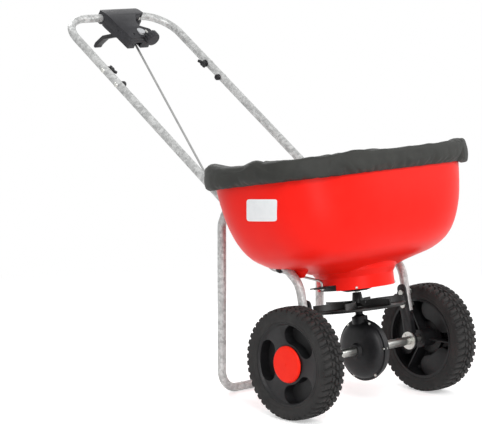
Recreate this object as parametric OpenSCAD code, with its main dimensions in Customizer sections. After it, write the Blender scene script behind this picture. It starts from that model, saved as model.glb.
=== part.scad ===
// Push-along broadcast spreader: a moulded hopper carried by two bent tubes, a wheel-driven
// impeller under a rotary shutter, a hand lever with a rate dial, and an elasticated cover.
// Millimetres. X runs across the machine, Y back towards the handle and Z up. The origin is
// on the ground under the middle of the axle. Pieces of the frame are laid out round the axle,
// with y back and z up along the impeller shaft, and parked() leans them back on to the stand.

/* [Stance] */
// Angle that the frame leans back when it rests on its stand
lean = 9.8; // [8:0.2:11.6]
// Distance between the middles of the two wheels
track = 486; // [470:2:520]

/* [Wheels] */
// Diameter over the tread
wheel_d = 280; // [264:2:300]
// Width of the tyre
tyre_w = 70; // [60:1:76]
// Diameter of the wheel body under the tyre
rim_d = 208; // [196:1:216]
// Shoulder notches on each side of the tread
notch_count = 20; // [14:1:24]
// Depth of the shoulder notches
notch_depth = 8; // [4:0.5:10]
// Width of the shoulder notches round the tread
notch_w = 15; // [8:0.5:17]
// Pockets between the broad spokes
spoke_count = 3; // [3:1:4]
// Depth of the pockets
pocket_depth = 29; // [16:1:32]
// Diameter of the wheel hub
hub_d = 46; // [36:1:50]
// Diameter of the red hub cap
cap_d = 92; // [80:1:98]
// Height of the hub cap above the wheel face
cap_h = 10; // [6:0.5:14]

/* [Axle and bearings] */
// Diameter of the drive axle
axle_d = 12.7; // [10:0.1:16]
// Running clearance on the radius of shafts and axles
running_gap = 0.06; // [0.03:0.01:0.09]
// Diameter of the bright bearing flanges
flange_d = 46; // [38:1:50]
// Thickness of the bearing flanges and washers
flange_t = 3; // [2:0.5:4]
// Width of the black axle hangers
hanger_w = 28; // [24:1:34]
// Thickness of the black axle hangers
hanger_t = 5; // [3:0.5:6]
// Height of the hanger's top end above the axle
hanger_h = 146; // [140:1:156]

/* [Gearbox] */
// Diameter of the gearbox flange
drum_d = 158; // [150:1:164]
// Wall of the gearbox shells
drum_wall = 3; // [2:0.25:4]
// Length of the domed half of the gearbox, out to its boss
dome_len = 26; // [22:1:34]
// Teeth on the crown wheel
crown_teeth = 40; // [36:2:44]
// Teeth on the pinion
pinion_teeth = 10; // [9:1:11]
// Tooth module
tooth_module = 2.5; // [2.3:0.05:2.6]
// Diameter of the impeller shaft
shaft_d = 10; // [8:0.25:11]

/* [Impeller and shutter] */
// Diameter of the impeller
impeller_d = 240; // [200:2:256]
// Height of the impeller plate above the axle
impeller_h = 106; // [102:1:108]
// Thickness of the impeller plate
impeller_t = 3; // [2:0.25:4]
// Height of the fins
fin_h = 16; // [10:1:20]
// Number of curved fins
fin_count = 6; // [4:1:8]
// Radial slots in the port plate and the shutter
port_count = 6; // [3:1:8]
// Angle covered by one slot
port_angle = 7; // [5:0.5:7.5]
// Inner radius of the slots
port_r0 = 34; // [28:1:40]
// Outer radius of the slots
port_r1 = 82; // [60:1:83]
// Thickness of the shutter plate
shutter_t = 2.7; // [2:0.1:3]
// Length of the shutter arm from the shaft
arm_len = 150; // [130:1:156]
// Radius at which the control rod works the shutter arm
arm_pin_r = 112; // [111:0.5:118]

/* [Hopper] */
// Reach of the rim's roll beyond the bowl's wall
rim_roll = 14; // [10:1:18]
// Height of the rim above the axle
rim_h = 490; // [480:2:510]
// Width of the bowl's wall just under the rim
bowl_w = 660; // [640:4:700]
// Depth of the bowl's wall just under the rim, front to back
bowl_l = 438; // [424:2:470]
// Distance of the hopper's middle behind the shaft
hopper_y = 14; // [10:1:18]
// Wall of the hopper
hopper_wall = 3.5; // [2.5:0.25:4.5]
// Outside diameter of the spout
spout_d = 196; // [194:1:200]
// Height of the spout's lower edge above the axle
spout_low = 158; // [157:1:160]
// Height of the port plate's seat above the axle
spout_h = 172; // [170:1:174]

/* [Cover] */
// Thickness of the cover fabric and its lining
cover_t = 2.5; // [1.5:0.25:4]
// Drop of the cover's skirt below its top
skirt = 46; // [40:1:52]
// Slack between the rim and the cover
cover_slack = 3; // [1:0.5:5]

/* [Frame tubes] */
// Outside diameter of every tube
tube_d = 22.2; // [19:0.2:24]
// Wall of the tubes
tube_wall = 1.5; // [1:0.1:2]
// Distance from the middle of a wheel in to the middle of the side tube beside it
tube_inset = 56; // [50:1:60]
// Angle of the tubes' lower legs off the shaft's direction
leg_tilt = 3; // [0:0.5:5]
// Height of the knee above the axle
knee_h = 191; // [184:1:198]
// Height of the legs' lower ends above the axle
leg_foot = 76; // [70:1:84]
// Angle of the long slope above the knee
handle_slope = 43.3; // [42:0.1:45]
// Length of the slope from the knee to the crossbar
handle_len = 1108; // [1060:2:1160]
// Bend radius at the knee
knee_r = 70; // [50:1:90]
// Bend radius at the ends of the crossbar
corner_r = 85; // [60:1:100]
// Distance of the joint in the tubes below the crossbar
joint_below = 190; // [180:2:210]
// Length of the spigots inside the lower tubes
spigot_len = 140; // [120:1:160]

/* [Stand] */
// Distance of the stand's bolts behind the back of the bowl
stand_gap = 5.5; // [4:0.5:9]
// Distance of the stand's legs behind those bolts
stand_back = 27; // [24:1:36]
// Distance of a stand leg inside its side tube
stand_inset = 8; // [8:0.5:12]
// Bend radius at the stand's lower corners
stand_r = 50; // [40:1:70]
// Width of the stand's flattened ends
paddle_w = 28; // [24:1:32]
// Length of the stand's flattened ends
paddle_len = 44; // [40:1:60]

/* [Controls] */
// Where the control's left and right ends are on the crossbar
control_x0 = -43; // [-46:1:-41]
control_x1 = 91; // [88:1:100]
// Reach of the control body's nose from the crossbar
nose_reach = 108; // [104:1:116]
// Height of the control body above the crossbar's middle
control_top = 25; // [24:0.5:27]
// Depth of the control body below the crossbar's middle
control_bottom = 27; // [26:0.5:30]
// Wall of the control body
control_wall = 3; // [2:0.25:3.5]
// Travel of the hand lever
lever_travel = 26; // [20:1:28]
// Length of the crank that works the rod
crank_len = 32; // [30:0.5:33]
// Diameter of the rate dial
dial_d = 41; // [36:1:50]
// Width of the rate dial along its axis
dial_w = 22; // [16:1:26]
// Diameter of the control rod
rod_d = 6; // [5:0.25:6.5]

/* [Hidden] */
$fn = 48;

// ---- colours ------------------------------------------------------------------------------
red = [0.86, 0.09, 0.06];
black = [0.09, 0.09, 0.1];
rubber_black = [0.16, 0.16, 0.16];
galvanised = [0.72, 0.73, 0.72];
bright = [0.82, 0.82, 0.84];
bronze = [0.68, 0.5, 0.28];
nylon = [0.86, 0.85, 0.8];
fabric_grey = [0.2, 0.22, 0.21];

// ---- general helpers ----------------------------------------------------------------------
eps = 0.01;
seat_gap = 0.3;   // between pieces that move on each other
function unit(v) = v / norm(v);
function lift(x, p) = [x, p.x, p.y];          // a [y, z] point of the frame at a given x
function arc(c, r, a0, a1, n = 8) = [for (i = [0:n]) let (a = a0 + (a1 - a0) * i / n)
    c + r * [cos(a), sin(a)]];

// Outline with its corners rounded: each corner is [x, y, radius]
function rounded(p, n = 6) = [for (i = [0:len(p) - 1])
    let (
        b = [p[i].x, p[i].y],
        a = [p[(i + len(p) - 1) % len(p)].x, p[(i + len(p) - 1) % len(p)].y],
        c = [p[(i + 1) % len(p)].x, p[(i + 1) % len(p)].y],
        u = unit(a - b), w = unit(c - b), half = acos(u * w) / 2, r = max(p[i].z, eps),
        o = b + unit(u + w) * r / sin(half),
        s = b + u * r / tan(half) - o,
        turn = (180 - 2 * half) * (u.x * w.y - u.y * w.x > 0 ? -1 : 1)
    )
    for (k = [0:n]) let (q = turn * k / n)
        o + [s.x * cos(q) - s.y * sin(q), s.x * sin(q) + s.y * cos(q)]];

// Round bar between two points
module bar_between(a, b, d) {
    v = b - a;
    translate(a)
        rotate([0, acos(v.z / norm(v)), atan2(v.y, v.x)])
            cylinder(h = norm(v), d = d);
}

// Round bar along X, Y or Z from a to b on a line through the given point
module bar_x(x0, x1, d, y = 0, z = 0) {
    translate([min(x0, x1), y, z]) rotate([0, 90, 0]) cylinder(h = abs(x1 - x0), d = d);
}

// Straight run of pipe from a to b
module run(a, b, d, bore = 0) {
    way = unit(b - a);
    difference() {
        bar_between(a, b, d);
        if (bore > 0) bar_between(a - way, b + way, bore);
    }
}

// Bend of pipe round the corner b. It is a trace slimmer than the runs and slips into them.
slim = 0.12;
module elbow(a, b, c, r, d, bore = 0) {
    u = unit(a - b);
    w = unit(c - b);
    half = acos(u * w) / 2;
    slip = sqrt(r) / 5 / r * 180 / PI;
    o = b + unit(u + w) * r / sin(half);
    ax = unit(b + u * r / tan(half) - o);
    az = unit(cross(ax, b + w * r / tan(half) - o));
    ay = cross(az, ax);
    multmatrix([
        [ax.x, ay.x, az.x, o.x],
        [ax.y, ay.y, az.y, o.y],
        [ax.z, ay.z, az.z, o.z]
    ])
        rotate(-slip) rotate_extrude(angle = 180 - 2 * half + 2 * slip) translate([r, 0])
            difference() {
                circle(d = d - slim);
                if (bore > 0) circle(d = bore - slim);
            }
}

function setback(a, b, c, r) = r / tan(acos(unit(a - b) * unit(c - b)) / 2);

// Pipe through the points p; r is the bend radius at every corner, or a list of them
module pipe(p, r, d, bore = 0) {
    n = len(p);
    rr = is_list(r) ? r : [for (q = p) r];
    for (i = [0:n - 2]) {
        way = unit(p[i + 1] - p[i]);
        run(i == 0 ? p[0] : p[i] + way * setback(p[i - 1], p[i], p[i + 1], rr[i]),
            i == n - 2 ? p[n - 1] : p[i + 1] - way * setback(p[i], p[i + 1], p[i + 2], rr[i + 1]),
            d, bore);
    }
    if (n > 2)
        for (i = [1:n - 2]) elbow(p[i - 1], p[i], p[i + 1], rr[i], d, bore);
}

// Extrudes a [y, z] outline along X from x0 to x1
module across(x0, x1) {
    translate([x0, 0, 0]) rotate([90, 0, 90]) linear_extrude(height = x1 - x0) children();
}

module sides() {
    for (side = [-1, 1]) scale([side, 1, 1]) children();
}

// ---- places that pieces share -------------------------------------------------------------
wheel_r = wheel_d / 2;
tube_r = tube_d / 2;
tube_x = track / 2 - tube_inset;
bore_d = tube_d - 2 * tube_wall;

leg_way = [sin(leg_tilt), cos(leg_tilt)];
slope_way = [cos(handle_slope), sin(handle_slope)];
slope_up = [-slope_way.y, slope_way.x];       // square to the slope, towards the hopper
knee = leg_way * knee_h / leg_way.y;
function on_leg(h) = leg_way * h / leg_way.y;
function on_slope(s, off = 0) = knee + slope_way * s + slope_up * off;
// Distance of the stand's bolts up the slope from the knee
stand_at = (hopper_y + bowl_l / 2 + stand_gap - knee.x) / slope_way.x;
crossbar = on_slope(handle_len);
joint_s = handle_len - joint_below;

// A [y, z] point of the frame as it stands, leaned back about the axle
function stood(p) = [p.x * cos(lean) + p.y * sin(lean),
                     wheel_r + p.y * cos(lean) - p.x * sin(lean)];

module parked() {
    translate([0, 0, wheel_r]) rotate([-lean, 0, 0]) children();
}

// Frame of the handle: y up the tubes, z square to them, origin in the middle of the crossbar
module on_handle() {
    parked() translate([0, crossbar.x, crossbar.y]) rotate([handle_slope, 0, 0]) children();
}

// A handle-frame point in the frame's own axes
function off_handle(p) = [p.x,
    crossbar.x + p.y * slope_way.x - p.z * slope_way.y,
    crossbar.y + p.y * slope_way.y + p.z * slope_way.x];

// Frame of a wheel: z outboard, origin in the middle of the tyre
module at_wheel(side) {
    translate([side * track / 2, 0, wheel_r]) rotate([0, side * 90, 0]) children();
}

hanger_in = tube_x - tube_r - hanger_t;       // inner face of a hanger
hub_in = -tyre_w / 2;                         // inboard end of a wheel hub
wheel_face = 24;                              // outboard face of the wheel body
hub_out = 12;                                 // outboard end of the hub, down in its recess
recess_r = 37;
sleeve_out = tube_x + 3;                      // outboard end of a bearing sleeve
bearing_d = axle_d + 5.3;
cotter_at = hub_out + seat_gap + flange_t + 2.4;
axle_end = track / 2 + cotter_at + 6;
drive_pin_at = hub_in + 8;
drive_pin_d = 6;

// ---- wheels -------------------------------------------------------------------------------
tread_half = tyre_w / 4;
shoulder_z = 0.4 * tyre_w;

module tyre(side) {
    rim_r = rim_d / 2;
    half = tyre_w / 2;
    sidewall_r = 0.965 * wheel_r;
    color(rubber_black) at_wheel(side) difference() {
        rotate_extrude() polygon(concat(
            [[rim_r, -half + 5], [rim_r, half - 5], [rim_r + 8, half - 2], [sidewall_r - 9, half]],
            [[sidewall_r, half - 0.5], [0.99 * wheel_r, shoulder_z], [wheel_r, tread_half]],
            [[wheel_r, -tread_half], [0.99 * wheel_r, -shoulder_z], [sidewall_r, -half + 0.5]],
            [[sidewall_r - 9, -half], [rim_r + 8, -half + 2]]
        ));
        // blocks of the tread stand between notches, staggered from one shoulder to the other
        for (face = [-1, 1], i = [0:notch_count - 1])
            rotate((i + face / 4) * 360 / notch_count)
                translate([wheel_r - notch_depth, -notch_w / 2, face > 0 ? tyre_w * 0.11 : -half - 1])
                    cube([notch_depth + 2, notch_w, half - tyre_w * 0.11 + 1]);
        // shallow ring that sets the bead off from the sidewall
        for (face = [-1, 1])
            translate([0, 0, face * half])
                rotate_extrude() translate([rim_r + 17, 0]) circle(d = 3, $fn = 24);
    }
}

// Curved slot with round ends, lying on a circle of radius r
module bean(r, w, span, z0, z1) {
    a = span / 2;
    translate([0, 0, z0]) linear_extrude(height = z1 - z0) polygon(concat(
        arc([0, 0], r + w / 2, -a, a, 14),
        arc(r * [cos(a), sin(a)], w / 2, a + 15, a + 165, 9),
        arc([0, 0], r - w / 2, a, -a, 10),
        arc(r * [cos(a), -sin(a)], w / 2, 195 - a, 345 - a, 9)
    ));
}

pocket_r = (rim_d / 2 + recess_r) / 2 + 4;
pocket_w = rim_d / 2 - recess_r - 20;
pocket_span = 360 / spoke_count - 76;
pocket_turn = 90;

module rim(side) {
    half = tyre_w / 2;
    face_t = 4;
    color(black) at_wheel(side) difference() {
        union() {
            // barrel with a turned-in inboard edge
            rotate_extrude() polygon([
                [rim_d / 2, -half + 5], [rim_d / 2, half - 5], [rim_d / 2 - 3, half - 5],
                [rim_d / 2 - 8, wheel_face], [rim_d / 2 - 8, wheel_face - face_t],
                [rim_d / 2 - 4, wheel_face - face_t - 4], [rim_d / 2 - 4, -half + 8],
                [rim_d / 2 - 7, -half + 5]
            ]);
            // face with the raised seat for the hub cap
            translate([0, 0, wheel_face - face_t]) cylinder(h = face_t, r = rim_d / 2 - 7);
            translate([0, 0, hub_in]) cylinder(h = wheel_face - hub_in, d = hub_d);
            translate([0, 0, hub_out - 4]) cylinder(h = wheel_face - hub_out + 4, r = recess_r + 3);
            for (i = [0:spoke_count - 1]) rotate(pocket_turn + i * 360 / spoke_count) {
                bean(pocket_r, pocket_w + 6, pocket_span, wheel_face - pocket_depth - 3, wheel_face);
                // stiffening rib from the hub to the barrel, inside each spoke
                rotate(180 / spoke_count) translate([hub_d / 2 - 1, -2, -half + 14])
                    cube([rim_d / 2 - hub_d / 2 - 1.5, 4, wheel_face + half - 16]);
            }
        }
        for (i = [0:spoke_count - 1]) rotate(pocket_turn + i * 360 / spoke_count)
            bean(pocket_r, pocket_w, pocket_span, wheel_face - pocket_depth, wheel_face + 1);
        translate([0, 0, hub_out]) cylinder(h = wheel_face, r = recess_r);
        translate([0, 0, hub_in - 1]) cylinder(h = hub_out - hub_in + 2, d = axle_d + 2 * running_gap);
        if (side < 0)
            translate([0, 0, drive_pin_at]) rotate([90, 0, 0])
                cylinder(h = hub_d + 2, d = drive_pin_d + 0.1, center = true);
    }
}

module cap(side) {
    edge = 6;
    color(red) at_wheel(side) translate([0, 0, wheel_face]) {
        rotate_extrude() polygon(concat(
            [[0, cap_h - 2.5], [cap_d / 2 - edge, cap_h - 3.5], [cap_d / 2 - 3, 0]],
            arc([cap_d / 2 - edge, cap_h - edge - 1], edge, 0, 80, 6),
            [[0, cap_h]]
        ));
        // snap ring that grips the recess
        rotate_extrude() translate([recess_r - 3, -4]) square([3 - running_gap, cap_h + 1]);
    }
}

module drive_pin() {
    color(bright) at_wheel(-1) translate([0, 0, drive_pin_at]) rotate([90, 0, 0]) {
        cylinder(h = hub_d + 6, d = drive_pin_d, center = true);
        translate([0, 0, hub_d / 2]) cylinder(h = 3, d = drive_pin_d + 4);
    }
}

// ---- axle and its bearings ----------------------------------------------------------------
boss_out = 8;                                  // gearbox bosses beyond the drum
box_left = dome_len + boss_out;                // reach of the gearbox to each side
crown_back = 20;                               // back face of the crown wheel
box_right = crown_back + 1 + drum_wall + boss_out + 2;

module axle() {
    color(bright) difference() {
        bar_x(-axle_end, axle_end, axle_d, z = wheel_r);
        translate([-track / 2 - drive_pin_at, 0, wheel_r]) rotate([90, 0, 0])
            cylinder(h = axle_d + 2, d = drive_pin_d + 0.1, center = true);
        for (side = [-1, 1]) translate([side * (track / 2 + cotter_at), 0, wheel_r])
            cylinder(h = axle_d + 2, d = cotter_d + 0.3, center = true);
        translate([crown_hub_mid, 0, wheel_r]) rotate([-lean, 0, 0])
            cylinder(h = axle_d + 2, d = cross_pin_d + 0.1, center = true);
    }
}

module ring_x(x0, x1, outer, inner) {
    difference() {
        bar_x(x0, x1, outer, z = wheel_r);
        bar_x(min(x0, x1) - 1, max(x0, x1) + 1, inner, z = wheel_r);
    }
}

// Long spacers from the gearbox to the hangers, short ones out to the wheels
module axle_spacers() {
    inner = axle_d + 2 * running_gap;
    color(bright) {
        ring_x(-hanger_in + flange_t + seat_gap, -box_left - seat_gap, tube_d, inner);
        ring_x(box_right + seat_gap, hanger_in - flange_t - seat_gap, tube_d, inner);
        sides() ring_x(sleeve_out + seat_gap, track / 2 + hub_in - seat_gap, bearing_d, inner);
    }
}

// Flanged bearing in the foot of each hanger
module axle_bearings() {
    color(bright) sides() difference() {
        union() {
            bar_x(hanger_in - flange_t, hanger_in, flange_d, z = wheel_r);
            bar_x(hanger_in - flange_t, sleeve_out, bearing_d, z = wheel_r);
            for (a = [45, 225]) bar_x(hanger_in - flange_t - 1.5, hanger_in, 7,
                y = rivet_r * cos(a), z = wheel_r + rivet_r * sin(a));
        }
        bar_x(hanger_in - flange_t - 2, sleeve_out + 1, axle_d + 2 * running_gap, z = wheel_r);
    }
}
rivet_r = flange_d / 2 - 5.5;

module axle_washers() {
    color(bright) for (side = [-1, 1]) at_wheel(side)
        translate([0, 0, hub_out + seat_gap]) difference() {
            cylinder(h = flange_t - 1, d = axle_d + 16);
            translate([0, 0, -1]) cylinder(h = flange_t + 2, d = axle_d + 2 * running_gap);
        }
}

cotter_d = 3.2;

// Split pins: two close legs, an eye at one end and the legs spread at the other
module cotter_pins() {
    color(bright) for (side = [-1, 1]) translate([side * (track / 2 + cotter_at), 0, wheel_r]) {
        translate([0, 0, -axle_d / 2 - 6]) cylinder(h = axle_d + 7, d = cotter_d);
        translate([0, 0, axle_d / 2 + 4.6]) rotate([0, 90, 0]) rotate_extrude($fn = 32)
            translate([3.2, 0]) circle(d = 2, $fn = 16);
        for (a = [-55, 55]) translate([0, 0, -axle_d / 2 - 5]) rotate([180 + a, 0, 0])
            cylinder(h = 6, d = 1.9, $fn = 16);
    }
}

// ---- axle hangers -------------------------------------------------------------------------
hanger_bolt_low = 92;
hanger_bolt_high = 124;
hanger_bolt_d = 8;

module hanger(side) {
    top = (hanger_h - hanger_w / 2) / leg_way.y + hanger_w / 2;
    color(black) parked() scale([side, 1, 1]) rotate([-leg_tilt, 0, 0]) difference() {
        union() {
            across(hanger_in, hanger_in + hanger_t) polygon(rounded([
                [-hanger_w / 2, 4, 0], [hanger_w / 2, 4, 0],
                [hanger_w / 2, top, 0.48 * hanger_w], [-hanger_w / 2, top, 0.48 * hanger_w]
            ], 10));
            bar_x(hanger_in, hanger_in + hanger_t, flange_d + 4);
            // boss behind the flanged bearing
            bar_x(hanger_in + 1, sleeve_out - 2, bearing_d + 8);
            // edge turned out along the front of the leg below the tube
            across(hanger_in + 1, hanger_in + 16)
                translate([-hanger_w / 2, 16]) square([3, leg_foot - 22]);
        }
        bar_x(hanger_in - 1, sleeve_out, bearing_d + 2 * running_gap);
        for (h = [hanger_bolt_low, hanger_bolt_high])
            bar_x(hanger_in - 1, hanger_in + hanger_t + 1, hanger_bolt_d + drill,
                z = h / leg_way.y);
    }
}

module bolt_x(x0, x1, d, head_d, head_t, nut_d, nut_t, y, z) {
    bar_x(x0, x1, d, y = y, z = z);
    bar_x(x0 - head_t, x0, head_d, y = y, z = z);
    translate([x1, y, z]) rotate([0, 90, 0]) cylinder(h = nut_t, d = nut_d, $fn = 6);
}

module hanger_bolts() {
    color(bright) parked() sides() for (h = [hanger_bolt_low, hanger_bolt_high])
        bolt_x(hanger_in, tube_x + tube_r, hanger_bolt_d, 15, 4.5, 14, 6, on_leg(h).x, h);
}

// ---- side tubes and handle ----------------------------------------------------------------
hopper_bolt_s = [72, 236];
hopper_bolt_d = 8;
wing_s = joint_s - 38;
nut_s = joint_s - 102;
splice_d = 6.4;
stand_bolt_d = 8;
drill = 0.4;                                   // a bolt hole over its bolt, on the diameter

module hole_x(p, d) {
    bar_x(-tube_r - 2, tube_r + 2, d, y = p.x, z = p.y);
}

module side_tube(side) {
    color(galvanised) parked() translate([side * tube_x, 0, 0]) difference() {
        pipe([lift(0, on_leg(leg_foot)), lift(0, knee), lift(0, on_slope(joint_s))],
            knee_r, tube_d, bore_d);
        hole_x(on_leg(hanger_bolt_low), hanger_bolt_d + drill);
        hole_x(on_leg(hanger_bolt_high), hanger_bolt_d + drill);
        hole_x(on_slope(stand_at), stand_bolt_d + drill);
        hole_x(on_slope(wing_s), splice_d + drill);
        hole_x(on_slope(nut_s), splice_d + drill);
        for (s = hopper_bolt_s)
            bar_between(lift(0, on_slope(s, -tube_r - 2)), lift(0, on_slope(s, tube_r + 2)),
                hopper_bolt_d + drill);
    }
}

// Black plugs that close the lower ends of the side tubes
module tube_plugs() {
    color(black) parked() for (side = [-1, 1]) {
        bar_between(lift(side * tube_x, on_leg(leg_foot - 3)), lift(side * tube_x, on_leg(leg_foot)),
            tube_d);
        bar_between(lift(side * tube_x, on_leg(leg_foot)), lift(side * tube_x, on_leg(leg_foot + 10)),
            bore_d - 0.1);
    }
}

spigot_d = bore_d - 2 * running_gap;

// Crossbar and its two legs in one bent tube, with ends drawn down into spigots
module upper_handle() {
    spigot_bore = spigot_d - 2 * tube_wall;
    color(galvanised) on_handle() difference() {
        union() {
            pipe([[-tube_x, -joint_below, 0], [-tube_x, 0, 0], [tube_x, 0, 0],
                [tube_x, -joint_below, 0]], corner_r, tube_d, bore_d);
            for (side = [-1, 1]) translate([side * tube_x, -joint_below, 0]) rotate([90, 0, 0])
                rotate_extrude() polygon([
                    [spigot_bore / 2, -7], [bore_d / 2 + 0.6, -7], [bore_d / 2 + 0.6, -0.5],
                    [spigot_d / 2, -0.5], [spigot_d / 2, spigot_len], [spigot_bore / 2, spigot_len]
                ]);
        }
        for (side = [-1, 1], s = [wing_s, nut_s])
            bar_x(side * tube_x - tube_r, side * tube_x + tube_r, splice_d + drill,
                y = s - handle_len);
    }
}

// Two bolts a side hold the handle's spigots, heads outside
module splice_bolts() {
    color(bright) parked() sides() for (s = [wing_s, nut_s]) {
        p = on_slope(s);
        bar_x(tube_x - tube_r - 9, tube_x + tube_r + 1, splice_d, y = p.x, z = p.y);
        translate([tube_x + tube_r, p.x, p.y]) rotate([0, 90, 0])
            rotate_extrude() polygon(concat([[0, 0]], arc([0, -2.9], 7.4, 23, 90, 6)));
    }
}

// Domed nuts on the lower bolts
module splice_nuts() {
    p = on_slope(nut_s);
    color(black) parked() sides() translate([tube_x - tube_r, p.x, p.y]) rotate([0, -90, 0])
        difference() {
            rotate_extrude() polygon(concat([[0, 0], [8.5, 0]], arc([2.5, 6], 6, 0, 90, 6), [[0, 12]]));
            translate([0, 0, -1]) cylinder(h = 10.5, d = splice_d + 0.1);
        }
}

// Wing knobs on the upper bolts
module wing_knobs() {
    p = on_slope(wing_s);
    color(black) parked() sides() translate([tube_x - tube_r, p.x, p.y])
        rotate([handle_slope, 0, 0]) rotate([0, -90, 0]) difference() {
            union() {
                cylinder(h = 3, d = 20);
                cylinder(h = 15, d1 = 17, d2 = 13);
                // wings along the tube
                for (turn = [0, 180]) rotate([0, 0, 90 + turn]) translate([0, 2.7, 0])
                    rotate([90, 0, 0]) linear_extrude(height = 5.4)
                        polygon(rounded([[0, 3, 0.5], [6, 4, 2], [16.5, 15, 2], [14, 23, 4.5], [7, 17, 3],
                            [0, 12, 0.5]]));
            }
            translate([0, 0, -1]) cylinder(h = 10.5, d = splice_d + 0.1);
        }
}

// ---- stand --------------------------------------------------------------------------------
stand_top = stood(on_slope(stand_at));
stand_x = tube_x - stand_inset;
stand_rise = 58;                               // from the bend in a leg up to its bolt
stand_knee = stand_top + [stand_back, -stand_rise];
stand_way = unit(stand_top - stand_knee);
paddle_t = 6;
paddle_x = tube_x - tube_r - paddle_t / 2;
crimp = 16;                                    // length over which an end is pressed flat

module stand() {
    low = paddle_len - 6;
    end = stand_top - stand_way * low;
    color(galvanised) difference() {
        union() {
            pipe([lift(-stand_x, end), lift(-stand_x, stand_knee), [-stand_x, stand_knee.x, tube_r],
                [stand_x, stand_knee.x, tube_r], lift(stand_x, stand_knee), lift(stand_x, end)],
                [0, 35, stand_r, stand_r, 35, 0], tube_d, bore_d);
            // the ends are pressed flat and rounded off
            for (side = [-1, 1]) translate(lift(0, stand_top))
                rotate([atan2(-stand_way.x, stand_way.y), 0, 0]) {
                    hull() {
                        translate([side * stand_x, 0, -low - 3])
                            cylinder(h = 3, d = tube_d + 0.8, $fn = 36);
                        translate([side * paddle_x, 0, crimp - low])
                            cube([paddle_t, paddle_w, 1], center = true);
                    }
                    translate([side * paddle_x, 0, crimp - low])
                        across(-paddle_t / 2, paddle_t / 2) polygon(rounded([
                            [-paddle_w / 2, 0, 0], [paddle_w / 2, 0, 0],
                            [paddle_w / 2, low - crimp + paddle_w / 2, 0.48 * paddle_w],
                            [-paddle_w / 2, low - crimp + paddle_w / 2, 0.48 * paddle_w]
                        ], 10));
                }
        }
        for (side = [-1, 1])
            bar_x(side * paddle_x - 8, side * paddle_x + 8, stand_bolt_d + drill,
                y = stand_top.x, z = stand_top.y);
    }
}

module stand_bolts() {
    color(bright) sides()
        bolt_x(paddle_x - paddle_t / 2, tube_x + tube_r, stand_bolt_d, 16, 5, 14, 7,
            stand_top.x, stand_top.y);
}

// ---- hopper -------------------------------------------------------------------------------
// Height and width of the bowl's wall, as shares of its height above the spout and of the rim
bowl_curve = [[0, 0.34], [0.036, 0.425], [0.071, 0.54], [0.107, 0.665], [0.187, 0.79],
    [0.284, 0.864], [0.409, 0.919], [0.57, 0.963], [0.8, 0.99], [0.95, 1]];
bowl_base = spout_h + 30;
around = 56;

function sgn(v) = v < 0 ? -1 : 1;
// The bowl leans back from the spout, so the middle of a ring moves back with its height
function middle(z) = hopper_y * min(1, max(0, (z - bowl_base) / (rim_h - skirt - bowl_base)));
function ring(a, b, z, n = 3) = [for (i = [0:around - 1]) let (t = (i + 0.5) * 360 / around)
    [a * sgn(cos(t)) * pow(abs(cos(t)), 2 / n),
     middle(z) + b * sgn(sin(t)) * pow(abs(sin(t)), 2 / n), z]];

// Closed skin over rings of equal length
module skin(rings) {
    n = len(rings[0]);
    m = len(rings);
    polyhedron(
        points = [for (r = rings) each r],
        faces = concat(
            [[for (i = [0:n - 1]) i]],
            [for (k = [0:m - 2], i = [0:n - 1]) [k * n + i, (k + 1) * n + i, (k + 1) * n + (i + 1) % n]],
            [for (k = [0:m - 2], i = [0:n - 1])
                [k * n + i, (k + 1) * n + (i + 1) % n, k * n + (i + 1) % n]],
            [[for (i = [n - 1:-1:0]) (m - 1) * n + i]]
        )
    );
}

function bowl_ring(k, inset) = ring(
    bowl_w / 2 * bowl_curve[k].y - inset,
    bowl_l / 2 * bowl_curve[k].y - inset,
    bowl_base + bowl_curve[k].x * (rim_h - bowl_base));

last = len(bowl_curve) - 1;
function raised(r, by) = [for (q = r) q + [0, 0, by]];

module bowl_outside() {
    skin(concat(
        [for (k = [0:last]) bowl_ring(k, 0)],
        [ring(bowl_w / 2 + 1, bowl_l / 2 + 1, rim_h - 9)],
        [ring(rim_w / 2 - 4, rim_l / 2 - 4, rim_h - 9)],
        [ring(rim_w / 2, rim_l / 2, rim_h - 5)],
        [ring(rim_w / 2, rim_l / 2, rim_h - 1)],
        [ring(rim_w / 2 - 2, rim_l / 2 - 2, rim_h)]
    ));
}

module bowl_inside() {
    skin(concat(
        [raised(bowl_ring(0, hopper_wall * 2.2), hopper_wall * 0.7)],
        [for (k = [1:last]) raised(bowl_ring(k, hopper_wall), bowl_curve[k].x < 0.2 ? hopper_wall : 0)],
        [ring(bowl_w / 2 - hopper_wall, bowl_l / 2 - hopper_wall, rim_h + 1)]
    ));
}

// Outline, in [y, z], of the channel that takes a side tube: its roof lies along the tube
channel_clear = 1.4;                           // side gap between tube and channel
channel_from = -34;
channel_to = 400;
module channel_outline(up, below) {
    polygon([on_slope(channel_from, up), on_slope(channel_to, up),
        on_slope(channel_to, -below), on_slope(channel_from + below * 0.9, -below)]);
}

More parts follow.
